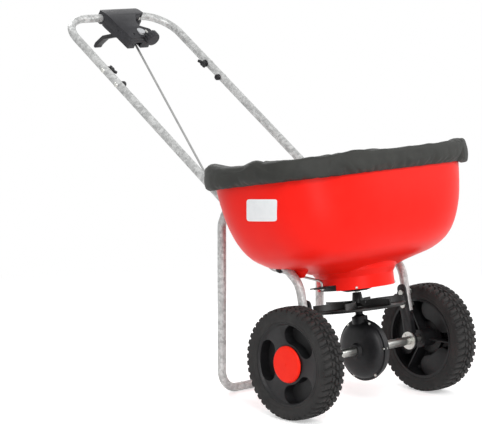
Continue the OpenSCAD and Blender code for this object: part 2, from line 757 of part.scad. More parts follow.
module hopper() {
    roof = tube_r + seat_gap;
    half_slot = tube_r + channel_clear;
    color(red) parked() difference() {
        union() {
            difference() {
                union() {
                    bowl_outside();
                    rotate_extrude($fn = 96) polygon([[0, spout_low], [spout_r, spout_low],
                        [spout_r, seat_top + 2], [spout_r + flare, bowl_base + 4],
                        [spout_r + flare, bowl_base + 44], [0, bowl_base + 44]]);
                }
                bowl_inside();
                // bore with the shoulder that holds the port plate down
                rotate_extrude($fn = 96) polygon([[0, spout_low - 1], [spout_in, spout_low - 1],
                    [spout_in, seat_top], [spout_in - 2.5, seat_top], [spout_in - 2.5, seat_top + 3],
                    [spout_in + flare, bowl_base + 4], [spout_in + flare, bowl_base + 48],
                    [0, bowl_base + 48]]);
                // window for the shutter's arm
                rotate(arm_rest - 24) rotate_extrude(angle = 42)
                    translate([spout_in - 4, spout_low - 1]) square([30, plate_z + 1 - spout_low]);
            }
            // walls of the tube channels inside the bowl
            for (side = [-1, 1]) intersection() {
                across(side * tube_x - half_slot - hopper_wall, side * tube_x + half_slot + hopper_wall)
                    channel_outline(roof + hopper_wall, 160);
                bowl_outside();
            }
            // feet that stand beside the knees of the tubes
            for (side = [-1, 1])
                across(side * (tube_x - half_slot - hopper_wall / 2) - hopper_wall / 2,
                    side * (tube_x - half_slot - hopper_wall / 2) + hopper_wall / 2)
                    polygon([[-26, bowl_base + 34], knee + [-4, 12], knee + [16, 10], [96, bowl_base + 44]]);
        }
        for (side = [-1, 1]) {
            across(side * tube_x - half_slot, side * tube_x + half_slot)
                channel_outline(roof, 260);
            for (s = hopper_bolt_s)
                bar_between(lift(side * tube_x, on_slope(s, roof - 1)),
                    lift(side * tube_x, on_slope(s, roof + hopper_wall + 30)), hopper_bolt_d + drill);
        }
        for (i = [0:3]) rotate(45 + 90 * i)
            translate([spout_r + 1, 0, cage_screw_z]) rotate([0, -90, 0])
                cylinder(h = hopper_wall + 3, d = cage_screw_d + drill, $fn = 24);
    }
}

// Bolts through the roofs of the channels and the tubes
module hopper_bolts() {
    roof = tube_r + seat_gap + hopper_wall;
    color(bright) parked() for (side = [-1, 1], s = hopper_bolt_s) {
        bar_between(lift(side * tube_x, on_slope(s, -tube_r - 8)),
            lift(side * tube_x, on_slope(s, roof + 2)), hopper_bolt_d);
        translate(lift(side * tube_x, on_slope(s, roof))) rotate([handle_slope, 0, 0])
            rotate_extrude() polygon(concat([[0, 0]], arc([0, -5.5], 10, 33.4, 90, 6)));
    }
}

// Capped nuts under the tubes
module hopper_nuts() {
    color(black) parked() for (side = [-1, 1], s = hopper_bolt_s)
        translate(lift(side * tube_x, on_slope(s, -tube_r))) rotate([handle_slope + 180, 0, 0])
            difference() {
                rotate_extrude() polygon(concat([[0, 0], [9.5, 0]], arc([5.5, 8], 4, 0, 90, 5), [[0, 12]]));
                translate([0, 0, -1]) cylinder(h = 9.5, d = hopper_bolt_d + 0.1);
            }
}

// ---- metering: port plate, shutter and cage -----------------------------------------------
spout_r = spout_d / 2;
rim_w = bowl_w + 2 * rim_roll;
rim_l = bowl_l + 2 * rim_roll;
spout_in = spout_r - hopper_wall;
flare = 10;                                    // the spout widens this much up to the bowl
plate_r = spout_in - 0.2;
plate_t = 4;
plate_z = spout_h + 1;
plate_skirt = 14;
seat_top = plate_z + plate_skirt + 0.3;
shutter_z = plate_z - seat_gap - shutter_t;
shutter_r = plate_r - 7;
hub_clear_r = 16;
port_pitch = 2 * port_angle + 3;
cage_screw_d = 5;
cage_lip_z = shutter_z - seat_gap;
cage_wall = 6;
cage_screw_z = spout_low + 4.5;
open_angle = -10.3;
arm_rest = 176;                                // direction of the arm, shutter closed

module slots(r0, r1, z0, z1, turn = 0) {
    for (i = [0:port_count - 1])
        rotate(270 + turn + (i - (port_count - 1) / 2) * port_pitch - port_angle / 2)
            rotate_extrude(angle = port_angle) translate([r0, z0]) square([r1 - r0, z1 - z0]);
}

// Floor of the hopper with its radial slots, held in the spout by a skirt
module port_plate() {
    color(black) parked() difference() {
        union() {
            translate([0, 0, plate_z]) cylinder(h = plate_t, r = plate_r, $fn = 96);
            translate([0, 0, plate_z]) difference() {
                cylinder(h = plate_skirt, r = plate_r, $fn = 96);
                translate([0, 0, -1]) cylinder(h = 20, r = plate_r - 3.5, $fn = 96);
            }
            translate([0, 0, plate_z]) cylinder(h = plate_t + 5, r = hub_clear_r);
        }
        translate([0, 0, plate_z - 1]) cylinder(h = plate_t + 8, d = shaft_d + 3);
        slots(port_r0, port_r1, plate_z - 1, plate_z + plate_t + 1);
    }
}

module shutter() {
    color(black) parked() difference() {
        union() {
            translate([0, 0, shutter_z]) cylinder(h = shutter_t, r = shutter_r, $fn = 96);
            translate([0, 0, shutter_z]) rotate(arm_rest) linear_extrude(height = shutter_t)
                polygon(rounded([[shutter_r - 20, -34, 2], [shutter_r + 12, -12, 14], [arm_len, -6, 5],
                    [arm_len, 6, 5], [shutter_r + 12, 12, 14], [shutter_r - 20, 34, 2]]));
            // ribs that stiffen the arm
            for (y = [-1, 1]) translate([0, 0, shutter_z - 2.5]) rotate(arm_rest)
                translate([spout_r + 9, y * 7.2 - 1, 0]) cube([26, 2, 3]);
        }
        translate([0, 0, shutter_z - 1]) cylinder(h = 6, r = hub_clear_r);
        slots(port_r0, port_r1, shutter_z - 1, shutter_z + 5, -open_angle);
        // the rod works in a slot, because the arm turns and the rod doesn't
        rotate(arm_rest) translate([arm_pin_r, 0, shutter_z - 4]) {
            for (dx = [-2, 5]) translate([dx, 0, 0]) cylinder(h = 8, d = rod_d + 1.6);
            translate([-2, -rod_d / 2 - 0.8, 0]) cube([7, rod_d + 1.6, 8]);
        }
    }
}

// Dished cage under the shutter: a ring inside the spout, and arms down to the shaft's bush
cage_hub_z = 149;
cage_floor_z = cage_hub_z + 3;
module shutter_cage() {
    color(black) parked() difference() {
        union() {
            difference() {
                rotate_extrude($fn = 96) polygon([
                    [shutter_r - 8, cage_lip_z - 3], [plate_r - cage_wall, cage_lip_z - 3],
                    [plate_r - cage_wall, spout_low + 0.5], [plate_r - 1, spout_low + 0.5],
                    [plate_r, spout_low + 2], [plate_r, plate_z - 0.05],
                    [plate_r - cage_wall, plate_z - 0.05], [plate_r - cage_wall, cage_lip_z],
                    [shutter_r - 8, cage_lip_z]
                ]);
                // mouth in the ring for the shutter's arm
                rotate(arm_rest - 24) rotate_extrude(angle = 42)
                    translate([shutter_r - 3, cage_lip_z]) square([30, shutter_t + 2]);
            }
            // arms of the dish
            for (i = [0:4]) rotate(18 + 72 * i) rotate([90, 0, 0]) translate([0, 0, -4])
                linear_extrude(height = 8) polygon([
                    [12, cage_hub_z], [26, cage_hub_z], [shutter_r - 4, cage_lip_z - 3],
                    [shutter_r - 4, cage_lip_z - 0.5], [shutter_r - 12, cage_lip_z - 0.5],
                    [24, cage_floor_z + 3], [12, cage_floor_z + 3]
                ]);
            translate([0, 0, cage_hub_z]) cylinder(h = 9, r = 17);
        }
        translate([0, 0, cage_hub_z - 1]) cylinder(h = 30, r = bush_r + 0.02);
        for (i = [0:3]) rotate(45 + 90 * i) translate([plate_r + 1, 0, cage_screw_z])
            rotate([0, -90, 0]) cylinder(h = cage_wall + 4, d = cage_screw_d + 0.1, $fn = 24);
    }
}

module cage_screws() {
    color(bright) parked() for (i = [0:3]) rotate(45 + 90 * i)
        translate([spout_r, 0, cage_screw_z]) rotate([0, -90, 0]) {
            cylinder(h = hopper_wall + cage_wall, d = cage_screw_d, $fn = 24);
            translate([0, 0, -2.4]) cylinder(h = 2.4, d1 = 5, d2 = 8, $fn = 24);
        }
}

bush_r = shaft_d / 2 + 2.2;
module shaft_bush() {
    color(bronze) parked() difference() {
        union() {
            translate([0, 0, cage_hub_z - 0.3]) cylinder(h = 12, r = bush_r);
            translate([0, 0, cage_hub_z + 9]) cylinder(h = 2.7, r = bush_r + 2.5);
        }
        translate([0, 0, cage_hub_z - 2]) cylinder(h = 20, d = shaft_d + 2 * running_gap);
    }
}

// ---- impeller -----------------------------------------------------------------------------
impeller_hub_h = 39.5;
cross_pin_d = 4;
shaft_foot = 22.5;
shaft_top = spout_h + 22;
impeller_pin_z = impeller_h + 14;
agitator_z = shaft_top - 7;

module impeller_shaft() {
    color(bright) parked() difference() {
        translate([0, 0, shaft_foot]) cylinder(h = shaft_top - shaft_foot, d = shaft_d);
        for (z = [impeller_pin_z, agitator_z, pinion_z0 - 4]) translate([0, 0, z]) rotate([90, 0, 0])
            cylinder(h = shaft_d + 2, d = cross_pin_d + 0.1, center = true);
    }
}

// Arc through two points, as its centre
function arc_centre(a, b, r) = let (m = (a + b) / 2, d = norm(b - a) / 2, u = unit(b - a))
    m + [u.y, -u.x] * sqrt(r * r - d * d);

module impeller() {
    root = [17, 0];
    tip = impeller_d / 2 * [cos(20), sin(20)] * 0.97;
    bend = impeller_d * 0.42;
    c = arc_centre(root, tip, bend);
    a0 = atan2(root.y - c.y, root.x - c.x);
    a1 = atan2(tip.y - c.y, tip.x - c.x);
    color(black) parked() translate([0, 0, impeller_h]) difference() {
        union() {
            cylinder(h = impeller_t, d = impeller_d, $fn = 96);
            // hub rises in a cone to just under the cage
            rotate_extrude() polygon([[0, 0], [24, 0], [24, impeller_t + 2], [15, impeller_t + 10],
                [11, impeller_hub_h], [0, impeller_hub_h]]);
            for (i = [0:fin_count - 1]) rotate(i * 360 / fin_count + 8)
                translate(c) rotate(a1) rotate_extrude(angle = a0 - a1)
                    translate([bend - 1.4, 0]) square([2.8, fin_h + impeller_t]);
            // turned-down edge
            translate([0, 0, -3]) difference() {
                cylinder(h = 4, d = impeller_d, $fn = 96);
                translate([0, 0, -1]) cylinder(h = 6, d = impeller_d - 5, $fn = 96);
            }
        }
        translate([0, 0, -5]) cylinder(h = 60, d = shaft_d + 0.04);
        translate([0, 0, 14]) rotate([90, 0, 0]) cylinder(h = 60, d = cross_pin_d + 0.1, center = true);
    }
}

module impeller_pin() {
    color(bright) parked() translate([0, 0, impeller_pin_z]) rotate([90, 0, 0])
        cylinder(h = 34, d = cross_pin_d, center = true);
}

module pinion_pin() {
    color(bright) parked() translate([0, 0, pinion_z0 - 4]) rotate([90, 0, 0])
        cylinder(h = shaft_d + 8, d = cross_pin_d, center = true);
}

// Bent pin through the shaft that stirs the load over the ports
module agitator() {
    color(bright) parked() translate([0, 0, agitator_z]) pipe([
        [0, -44, 10], [0, -30, 0], [0, 30, 0], [0, 44, 10]], 8, cross_pin_d);
}

// ---- gearbox ------------------------------------------------------------------------------
pinion_r = tooth_module * pinion_teeth / 2;
crown_r = tooth_module * crown_teeth / 2;
face_w = 12;                                   // length of the teeth
addendum = 0.84 * tooth_module;
dedendum = 1.15 * tooth_module;
pinion_z0 = crown_r - face_w / 2 - 1;
crown_hub_mid = pinion_r + 1.5;
drum_in_r = drum_d / 2 - 9;
neck_d = 40;
neck_h = drum_d / 2 + 6;
boss_d = shaft_d + 9;

module pinion() {
    half_root = 0.76 * tooth_module;
    half_pitch = 0.5 * tooth_module;
    half_tip = 0.25 * tooth_module;
    color(bronze) parked() difference() {
        translate([0, 0, pinion_z0]) union() {
            linear_extrude(height = face_w + 2) {
                circle(r = pinion_r - dedendum);
                for (i = [0:pinion_teeth - 1]) rotate((i + 0.5) * 360 / pinion_teeth) polygon([
                    [pinion_r - dedendum - 1, -half_root], [pinion_r, -half_pitch],
                    [pinion_r + addendum, -half_tip], [pinion_r + addendum, half_tip],
                    [pinion_r, half_pitch], [pinion_r - dedendum - 1, half_root]
                ]);
            }
            translate([0, 0, -8]) cylinder(h = 8, r = shaft_d / 2 + 4);
        }
        translate([0, 0, pinion_z0 - 10]) cylinder(h = 40, d = shaft_d + 0.04);
        translate([0, 0, pinion_z0 - 4]) rotate([90, 0, 0])
            cylinder(h = 40, d = cross_pin_d + 0.1, center = true);
    }
}

// Crown wheel: face teeth that run the pinion, on a ribbed web and a pinned hub
module crown_gear() {
    root_x = pinion_r + dedendum;
    tip_x = pinion_r - addendum;
    half_root = 0.76 * tooth_module;
    half_pitch = 0.52 * tooth_module;
    half_tip = 0.26 * tooth_module;
    color(nylon) parked() difference() {
        union() {
            difference() {
                bar_x(root_x - eps, crown_back, 2 * crown_r + face_w + 4);
                // light web between the hub and the toothed ring
                difference() {
                    bar_x(root_x - 1, crown_back - 2.5, 2 * crown_r - face_w - 4);
                    bar_x(root_x - 2, crown_back, 40);
                }
            }
            for (i = [0:5]) rotate([60 * i + 30, 0, 0])
                translate([root_x, -1.5, 15]) cube([crown_back - root_x, 3, crown_r - face_w / 2 - 15]);
            bar_x(crown_hub_mid - 6, crown_back, 28);
            for (i = [0:crown_teeth - 1]) rotate([i * 360 / crown_teeth, 0, 0])
                translate([0, 0, crown_r - face_w / 2]) linear_extrude(height = face_w) polygon([
                    [root_x + 0.2, -half_root], [root_x + 0.2, half_root], [pinion_r, half_pitch],
                    [tip_x, half_tip], [tip_x, -half_tip], [pinion_r, -half_pitch]
                ]);
        }
        bar_x(0, 40, axle_d + 0.04);
        translate([crown_hub_mid, 0, 0]) cylinder(h = 60, d = cross_pin_d + 0.1, center = true);
    }
}

module crown_pin() {
    color(bright) parked() translate([crown_hub_mid, 0, 0])
        cylinder(h = 27, d = cross_pin_d, center = true);
}

// Outside of one half of the gearbox as a turned profile: x out from the split, r from the axle
module drum_half(length, dome) {
    rotate([0, 90, 0]) rotate_extrude($fn = 96) polygon(concat(
        [[0, 0], [drum_d / 2, 0], [drum_d / 2, 4], [drum_in_r + drum_wall + 1, 4]],
        dome
            ? [for (a = [0:12:84]) [22 + (drum_in_r + drum_wall - 22) * cos(a), 5 + (length - 5) * sin(a)]]
            : [[drum_in_r + drum_wall, 5], [drum_in_r + drum_wall, length - 8],
               [drum_in_r + drum_wall - 10, length]],
        [[20, length], [17, length + boss_out], [0, length + boss_out]]
    ));
}

module drum_cavity(length, dome) {
    rotate([0, 90, 0]) rotate_extrude($fn = 96) polygon(concat(
        [[0, -eps], [drum_in_r, -eps]],
        dome
            ? [for (a = [0:12:84]) [18 + (drum_in_r - 18) * cos(a), 3 + (length - 3 - drum_wall) * sin(a)]]
            : [[drum_in_r, length - 8], [drum_in_r - 8, length - drum_wall]],
        [[0, length - drum_wall]]
    ));
}

module neck_outside() {
    translate([0, 0, drum_in_r - 4]) cylinder(h = neck_h - drum_in_r + 4, d = neck_d);
    translate([0, 0, drum_in_r - 4])
        cylinder(h = impeller_h - 3.6 - drum_in_r + 4, d = boss_d);
    translate([0, 0, neck_h]) cylinder(h = 5, d1 = neck_d - 8, d2 = boss_d);
}

bush_out_r = shaft_d / 2 + 1.9;
module footstep() {
    translate([-dome_len + 2, -12, shaft_foot - 5]) cube([dome_len + 6, 24, 12]);
}

module gearbox_half(side) {
    dome = side < 0;
    length = dome ? dome_len : crown_back + 1 + drum_wall + 2;
    color(black) parked() difference() {
        union() {
            intersection() {
                union() {
                    scale([side, 1, 1]) drum_half(length, dome);
                    neck_outside();
                }
                translate([side > 0 ? 0 : -100, -100, -100]) cube([100, 200, 300]);
            }
            // footstep of the impeller shaft, carried wholly by the domed half
            if (dome) footstep();
        }
        difference() {
            scale([side, 1, 1]) drum_cavity(length, dome);
            // inner boss of the axle
            bar_x(side * (dome ? length - 8 : crown_back + 1.5), side * 60, axle_d + 14);
            if (dome) footstep();
        }
        bar_x(-100, 100, axle_d + 5);
        translate([0, 0, shaft_foot - 1]) cylinder(h = 14, r = bush_out_r);
        translate([0, 0, drum_in_r - 10]) cylinder(h = 60, r = bush_out_r);
        for (i = [0:5]) {
            bar_x(-20, 20, gearbox_screw_d + drill,
                y = screw_circle * sin(60 * i + 30), z = screw_circle * cos(60 * i + 30));
            // flat under the screw's head or nut
            bar_x(side * 4, side * 9, 7.2,
                y = screw_circle * sin(60 * i + 30), z = screw_circle * cos(60 * i + 30));
        }
    }
}

gearbox_screw_d = 4;
screw_circle = drum_d / 2 - 4;
module gearbox_screws() {
    color(bright) parked() for (i = [0:5])
        bolt_x(-4, 4, gearbox_screw_d, 6.6, 3, 6.6, 3,
            screw_circle * sin(60 * i + 30), screw_circle * cos(60 * i + 30));
}

// Bushes for the axle in the two bosses, and for the shaft in the neck and the footstep
module gearbox_bushes() {
    color(bronze) parked() {
        for (x = [[-box_left, -box_left + 15], [crown_back + 1.5, box_right]]) difference() {
            bar_x(x[0], x[1], axle_d + 5 - 0.04);
            bar_x(x[0] - 1, x[1] + 1, axle_d + 2 * running_gap);
        }
        for (z = [[shaft_foot - 0.9, shaft_foot + 7], [impeller_h - 22, impeller_h - 3.3]])
            translate([0, 0, z[0]]) difference() {
                cylinder(h = z[1] - z[0], r = bush_out_r - 0.02);
                translate([0, 0, -1]) cylinder(h = z[1] - z[0] + 2, d = shaft_d + 2 * running_gap);
            }
    }
}

// ---- control on the crossbar --------------------------------------------------------------
// Places in the handle's frame
pivot = [0, -70, 10];                           // hand lever's pin
blade_x = [-28.5, -7.5];
crank_x = 13;
crank_t = 6;
crank_rest = lever_travel / 2;                  // the crank swings evenly about square
crank_pin = [crank_x + crank_t / 2, pivot.y - crank_len * sin(crank_rest),
    pivot.z - crank_len * cos(crank_rest)];
saddle_w = 18;
pin_d = 6;
nose_x0 = -14;
nose_x1 = 70;
wing_x = -39;
neck_x = 36;                                   // where the body is narrowest
dial_at = [50, -nose_reach, 15];

// Waist and nose of the body, from the right saddle round to the left one
function nose_plan(i) = [
    [control_x1 - 34 - 0.46 * i, -20 + i, 8], [neck_x - i, -52 + 0.4 * i, 10],
    [neck_x - i, -70 - 0.67 * i, 8], [nose_x1 - i, -84 - 0.67 * i, 9],
    [nose_x1 - i, -nose_reach + i, 8], [nose_x0 + 0.58 * i, -nose_reach + i, 10],
    [wing_x + 0.9 * i, -66 + 0.43 * i, 10], [control_x0 + i, -30 + 0.19 * i, 8]
];
function control_plan(i) = rounded(concat([
    [control_x0 + i, 17 - i, 5], [control_x1 - i, 17 - i, 5], [control_x1 - i, -18 + i, 7]
], nose_plan(i)));

module crossbar_hole() {
    bar_x(control_x0 - 5, control_x1 + 5, tube_d);
}

// Upper shell, crowned from front to back, over the crossbar
module control_cover() {
    crown_r_y = 170;
    color(black) on_handle() difference() {
        intersection() {
            linear_extrude(height = control_top) polygon(control_plan(0));
            bar_x(control_x0 - 1, control_x1 + 1, 2 * crown_r_y, y = -38, z = control_top - crown_r_y);
        }
        difference() {
            intersection() {
                translate([0, 0, -1]) linear_extrude(height = control_top)
                    polygon(control_plan(control_wall));
                bar_x(control_x0 - 1, control_x1 + 1, 2 * (crown_r_y - control_wall), y = -38,
                    z = control_top - crown_r_y);
            }
            // blocks that clamp the crossbar and carry the lever's pin
            for (x = [control_x0, control_x1 - saddle_w])
                translate([x, -18, -2]) cube([saddle_w, 36, 40]);
            for (x = pin_walls) translate([x, pivot.y - 10, -2]) cube([5, 20, 40]);
            for (q = control_screw_at) translate([q.x, q.y, -2]) cylinder(h = 40, d = 10);
        }
        crossbar_hole();
        bar_x(pin_walls[0] - 1, pin_walls[1] + 6, pin_d + 0.1, y = pivot.y, z = pivot.z);
        for (q = control_screw_at)
            translate([q.x, q.y, -2]) cylinder(h = control_top - 4, d = control_screw_d + 0.1);
        // window for the scale
        translate([scale_at.x, scale_at.y, scale_z]) cylinder(h = 20, d = scale_d + 0.2);
        bar_dial(dial_shaft_d + 2 * running_gap, 40);
    }
}

pin_walls = [-34.5, 22];
scale_at = [31, -89];
scale_d = 24;
scale_z = control_top - 14;
control_screw_d = 5;
wing_bottom = 13;                              // depth of the body over the hand lever
// Screws that hold the shells together; z is the seat of the head
control_screw_at = [[control_x0 + saddle_w / 2, -23.5, -wing_bottom],
    [control_x1 - saddle_w / 2, -17.5, -16], [nose_x1 - 10, -96, -control_bottom],
    [2, -97, -control_bottom]];
dial_shaft_d = 8;

// Bar on the dial's axis, from the nose back into the body
module bar_dial(d, length) {
    translate([dial_at.x, dial_at.y - 4, dial_at.z]) rotate([-90, 0, 0]) cylinder(h = length, d = d);
}

function base_plan(i) = rounded(concat([
    [control_x0 + i, -13 - i, 2], [control_x1 - 29.4 - 1.85 * i, -13 - i, 2]
], [for (k = [1:7]) nose_plan(i)[k]]));

// Depth of the body, in [x, z]: full under the nose, cut back on the left over the lever
module base_section(i) {
    rotate([90, 0, 0]) translate([0, 0, 0]) linear_extrude(height = 2 * nose_reach) polygon([
        [control_x0 - 1, 1], [control_x1 + 1, 1], [control_x1 + 1, i - control_bottom],
        [-11 + 0.4 * i, i - control_bottom], [-33 + 0.8 * i, i - wing_bottom],
        [control_x0 - 1, i - wing_bottom]
    ]);
}

// Lower shell: saddles under the crossbar, and a well that the lever and the rod come out of
module control_base() {
    color(black) on_handle() difference() {
        union() {
            difference() {
                intersection() {
                    translate([0, 0, -control_bottom]) linear_extrude(height = control_bottom)
                        polygon(base_plan(0));
                    base_section(0);
                }
                intersection() {
                    translate([0, 0, -control_bottom]) linear_extrude(height = 60)
                        polygon(base_plan(control_wall));
                    base_section(control_wall);
                }
            }
            for (x = [control_x0, control_x1 - saddle_w])
                across(x, x + saddle_w) difference() {
                    circle(r = 17);
                    translate([-40, 0]) square([80, 40]);
                }
            // bar from the right saddle to the waist
            translate([control_x1 - 36, -21, -16]) cube([36, 8, 16]);
            for (q = control_screw_at) translate([q.x, q.y, q.z]) cylinder(h = -q.z, d = 13);
        }
        crossbar_hole();
        // slot for the hand lever, open towards the crossbar
        translate([blade_x[0] - 1, pivot.y - 4, -60]) cube([blade_x[1] - blade_x[0] + 2, 100, 70]);
        // slot for the rod in the floor and the front
        translate([rod_slot_x0, -nose_reach - 1, -60]) cube([rod_slot_w, 34, 60 - 9]);
        translate([crank_x - 4, pivot.y - 24, -60]) cube([crank_t + 17, 50, 60 - 14]);
        for (q = control_screw_at) translate([q.x, q.y, q.z - 1]) {
            cylinder(h = 60, d = control_screw_d + drill);
            cylinder(h = 4.5, d = 9.4);
        }
    }
}
rod_slot_x0 = 12;
rod_slot_w = 23;

module control_screws() {
    color(bright) on_handle() for (q = control_screw_at) translate([q.x, q.y, q.z]) {
        cylinder(h = 11 - q.z, d = control_screw_d);
        cylinder(h = 3.5, d = 9);
    }
}

barrel_d = 12;
// Hand lever: bent blade, cross shaft on the pin, and the crank that pulls the rod
module trigger() {
    color(black) on_handle() difference() {
        union() {
            across(blade_x[0], blade_x[1]) polygon(rounded([
                [pivot.y - 5, pivot.z + 6, 5], [pivot.y + 5.5, pivot.z + 6, 5], [-55, -12, 8],
                [-18, -47, 14], [-3, -82, 12], [-3, -95, 4], [-12, -95, 4], [-14, -82, 12],
                [-26, -54, 14], [-65, -18, 10]
            ], 5));
            bar_x(pin_walls[0] + 5 + seat_gap, pin_walls[1] - seat_gap, barrel_d, y = pivot.y, z = pivot.z);
            translate([crank_x, pivot.y, pivot.z]) rotate([-crank_rest, 0, 0]) across(0, crank_t)
                polygon(rounded([[-5.5, 5, 0], [5.5, 5, 0], [6, -crank_len - 6.5, 5.5],
                    [-6, -crank_len - 6.5, 5.5]]));
        }
        bar_x(-100, 100, pin_d + 2 * running_gap, y = pivot.y, z = pivot.z);
        bar_x(crank_x - 1, crank_x + crank_t + 1, rod_d + 2 * running_gap, y = crank_pin.y, z = crank_pin.z);
    }
}

module trigger_pin() {
    color(bright) on_handle()
        bar_x(pin_walls[0], pin_walls[1] + 5, pin_d, y = pivot.y, z = pivot.z);
}

// Return spring round the lever's cross shaft: close coils with one leg to the body
spring_wire = 1.8;
spring_x = -5;
spring_r = barrel_d / 2 + spring_wire / 2 + 0.35;
module trigger_spring() {
    color(bright) on_handle() {
        for (i = [0:6]) translate([spring_x + i * spring_wire, pivot.y, pivot.z]) rotate([0, 90, 0])
            rotate_extrude() translate([spring_r, 0]) circle(d = spring_wire + 0.1, $fn = 16);
        bar_between([spring_x, pivot.y + spring_r, pivot.z],
            [spring_x, pivot.y + spring_r, pivot.z - 28], spring_wire);
    }
}

// Rate dial on the nose, with finger flutes round its edge
module rate_dial() {
    color(black) on_handle() translate([dial_at.x, dial_at.y - seat_gap, dial_at.z]) rotate([90, 0, 0])
        difference() {
            rotate_extrude() polygon(concat(
                [[0, 0], [dial_d / 2 - 4, 0], [dial_d / 2, 3]],
                arc([dial_d / 2 - 5, dial_w - 5], 5, 0, 90, 5),
                [[0, dial_w - 1]]
            ));
            for (i = [0:13]) rotate(i * 360 / 14) translate([dial_d / 2 + 2.2, 0, -1])
                cylinder(h = dial_w + 2, d = 7, $fn = 24);
            translate([0, 0, -1]) cylinder(h = 13, d = dial_shaft_d - 0.02);
        }
}

// Screw that the dial turns, with its end turned down where it meets the lever's stop
module stop_screw() {
    inside = 22;
    color(bright) on_handle() translate([dial_at.x, dial_at.y - seat_gap - 9, dial_at.z])
        rotate([-90, 0, 0]) rotate_extrude() polygon([
            [0, 0], [dial_shaft_d / 2 - 0.01, 0], [dial_shaft_d / 2 - 0.01, 9 + inside],
            [dial_shaft_d / 2 - 1, 11 + inside], [0, 11 + inside]
        ]);
}

module dial_scale() {
    color([0.75, 0.76, 0.76]) on_handle() translate([scale_at.x, scale_at.y, scale_z])
        cylinder(h = 8, d = scale_d);
}

// Route of the rod, from its pin in the crank to the hook in the shutter's arm
rod_end = [arm_pin_r * cos(arm_rest), arm_pin_r * sin(arm_rest)];
rod_way = [-118, 170, 224];                     // below the hopper's back
rod_back = [-105, 275, 285];                    // behind the hopper
rod_points = [
    off_handle(crank_pin + [-crank_t / 2 - 2, 0, 0]),
    off_handle(crank_pin + [crank_t / 2 + 9, 0, 0]),
    rod_back, rod_way,
    [rod_end.x, rod_end.y, shutter_z + 17],
    [rod_end.x, rod_end.y, shutter_z - 7]
];

module control_rod() {
    color([0.55, 0.56, 0.57]) parked() pipe(rod_points, [0, 7, 40, 40, 9, 0], rod_d);
}

// Push-on clips that keep the rod's two ends in
module rod_clips() {
    color(bright) parked() {
        translate([rod_end.x, rod_end.y, shutter_z - 4.4]) difference() {
            cylinder(h = 1.4, d = rod_d + 7);
            translate([0, 0, -1]) cylinder(h = 4, d = rod_d + 0.04);
        }
        translate(off_handle(crank_pin + [-crank_t / 2 - 1.7, 0, 0])) rotate([0, 90, 0]) difference() {
            cylinder(h = 1.4, d = rod_d + 5);
            translate([0, 0, -1]) cylinder(h = 4, d = rod_d + 0.04);
        }
    }
}

// ---- cover --------------------------------------------------------------------------------
// Fitted sheet: it lies on the rim, puffs out beyond it all round, and its hem lifts off over it
puff = 7;
module cover_sheet() {
    lie = rim_h + seat_gap;
    w = rim_w / 2;
    l = rim_l / 2;
    s = cover_slack;
    t = cover_t;
    clear = 0.5;
    color(fabric_grey) parked() difference() {
        skin([
            ring(w + s + t - 2, l + s + t - 2, lie - skirt),
            ring(w + s + t + 2, l + s + t + 2, lie + 7 - skirt),
            ring(w + s + t + puff, l + s + t + puff, lie - 20),
            ring(w + s + t + puff, l + s + t + puff, lie - 6),
            ring(w + s + t, l + s + t, lie + puff),
            ring(w - 14, l - 14, lie + puff + 4),
            ring(0.8 * w, 0.8 * l, lie + puff),
            ring(0.4 * w, 0.4 * l, lie + puff + 2)
        ]);
        skin([
            ring(w + clear, l + clear, lie - skirt - 1),
            ring(w + clear, l + clear, lie + 5 - skirt),
            ring(w + s + puff, l + s + puff, lie - 20),
            ring(w + s + puff, l + s + puff, lie - 8),
            ring(w + clear, l + clear, lie),
            ring(w - 6, l - 6, lie),
            ring(w - 14, l - 14, lie + puff + 4 - t),
            ring(0.8 * w, 0.8 * l, lie + puff - t),
            ring(0.4 * w, 0.4 * l, lie + puff + 2 - t)
        ]);
    }
}

hopper();
port_plate();
shutter();
shutter_cage();
cage_screws();
shaft_bush();
impeller_shaft();
pinion();
pinion_pin();
impeller();
impeller_pin();
agitator();
gearbox_half(-1);  // gearbox_left
gearbox_half(1);  // gearbox_right
gearbox_screws();
gearbox_bushes();
crown_gear();
crown_pin();
axle();
axle_spacers();
axle_bearings();
hanger(-1);  // hanger_left
hanger(1);  // hanger_right
hanger_bolts();
side_tube(-1);  // side_tube_left
side_tube(1);  // side_tube_right
tube_plugs();
upper_handle();
splice_bolts();
splice_nuts();
wing_knobs();
stand();
stand_bolts();
hopper_bolts();
hopper_nuts();
tyre(-1);  // tyre_left
rim(-1);  // rim_left
cap(-1);  // cap_left
drive_pin();
tyre(1);  // tyre_right
rim(1);  // rim_right
cap(1);  // cap_right
axle_washers();
cotter_pins();
control_base();
control_cover();
control_screws();
trigger();
trigger_pin();
trigger_spring();
rate_dial();
stop_screw();
dial_scale();
control_rod();
rod_clips();
cover_sheet();
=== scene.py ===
import math

import bmesh
import bpy
from mathutils import Matrix, Vector, noise


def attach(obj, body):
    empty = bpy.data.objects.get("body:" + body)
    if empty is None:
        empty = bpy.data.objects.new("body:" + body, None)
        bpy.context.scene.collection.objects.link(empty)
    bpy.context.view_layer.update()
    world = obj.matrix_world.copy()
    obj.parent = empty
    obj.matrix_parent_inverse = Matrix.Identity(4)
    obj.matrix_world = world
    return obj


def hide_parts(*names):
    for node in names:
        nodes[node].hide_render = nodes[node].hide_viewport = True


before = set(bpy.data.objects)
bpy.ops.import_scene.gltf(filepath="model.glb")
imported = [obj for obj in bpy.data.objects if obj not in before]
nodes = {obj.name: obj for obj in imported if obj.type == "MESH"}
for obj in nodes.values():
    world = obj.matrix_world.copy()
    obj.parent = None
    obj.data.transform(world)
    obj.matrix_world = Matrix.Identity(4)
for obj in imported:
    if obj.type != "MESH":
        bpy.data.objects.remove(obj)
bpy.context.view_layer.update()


# ---- Axle, spacers, bearings and the frame's bolts ---------------------------------------
# Turned and pressed steel with a bright zinc plating. The plating is thin and a little cloudy,
# so the gloss changes from place to place, and lathe rings still show on the turned pieces.

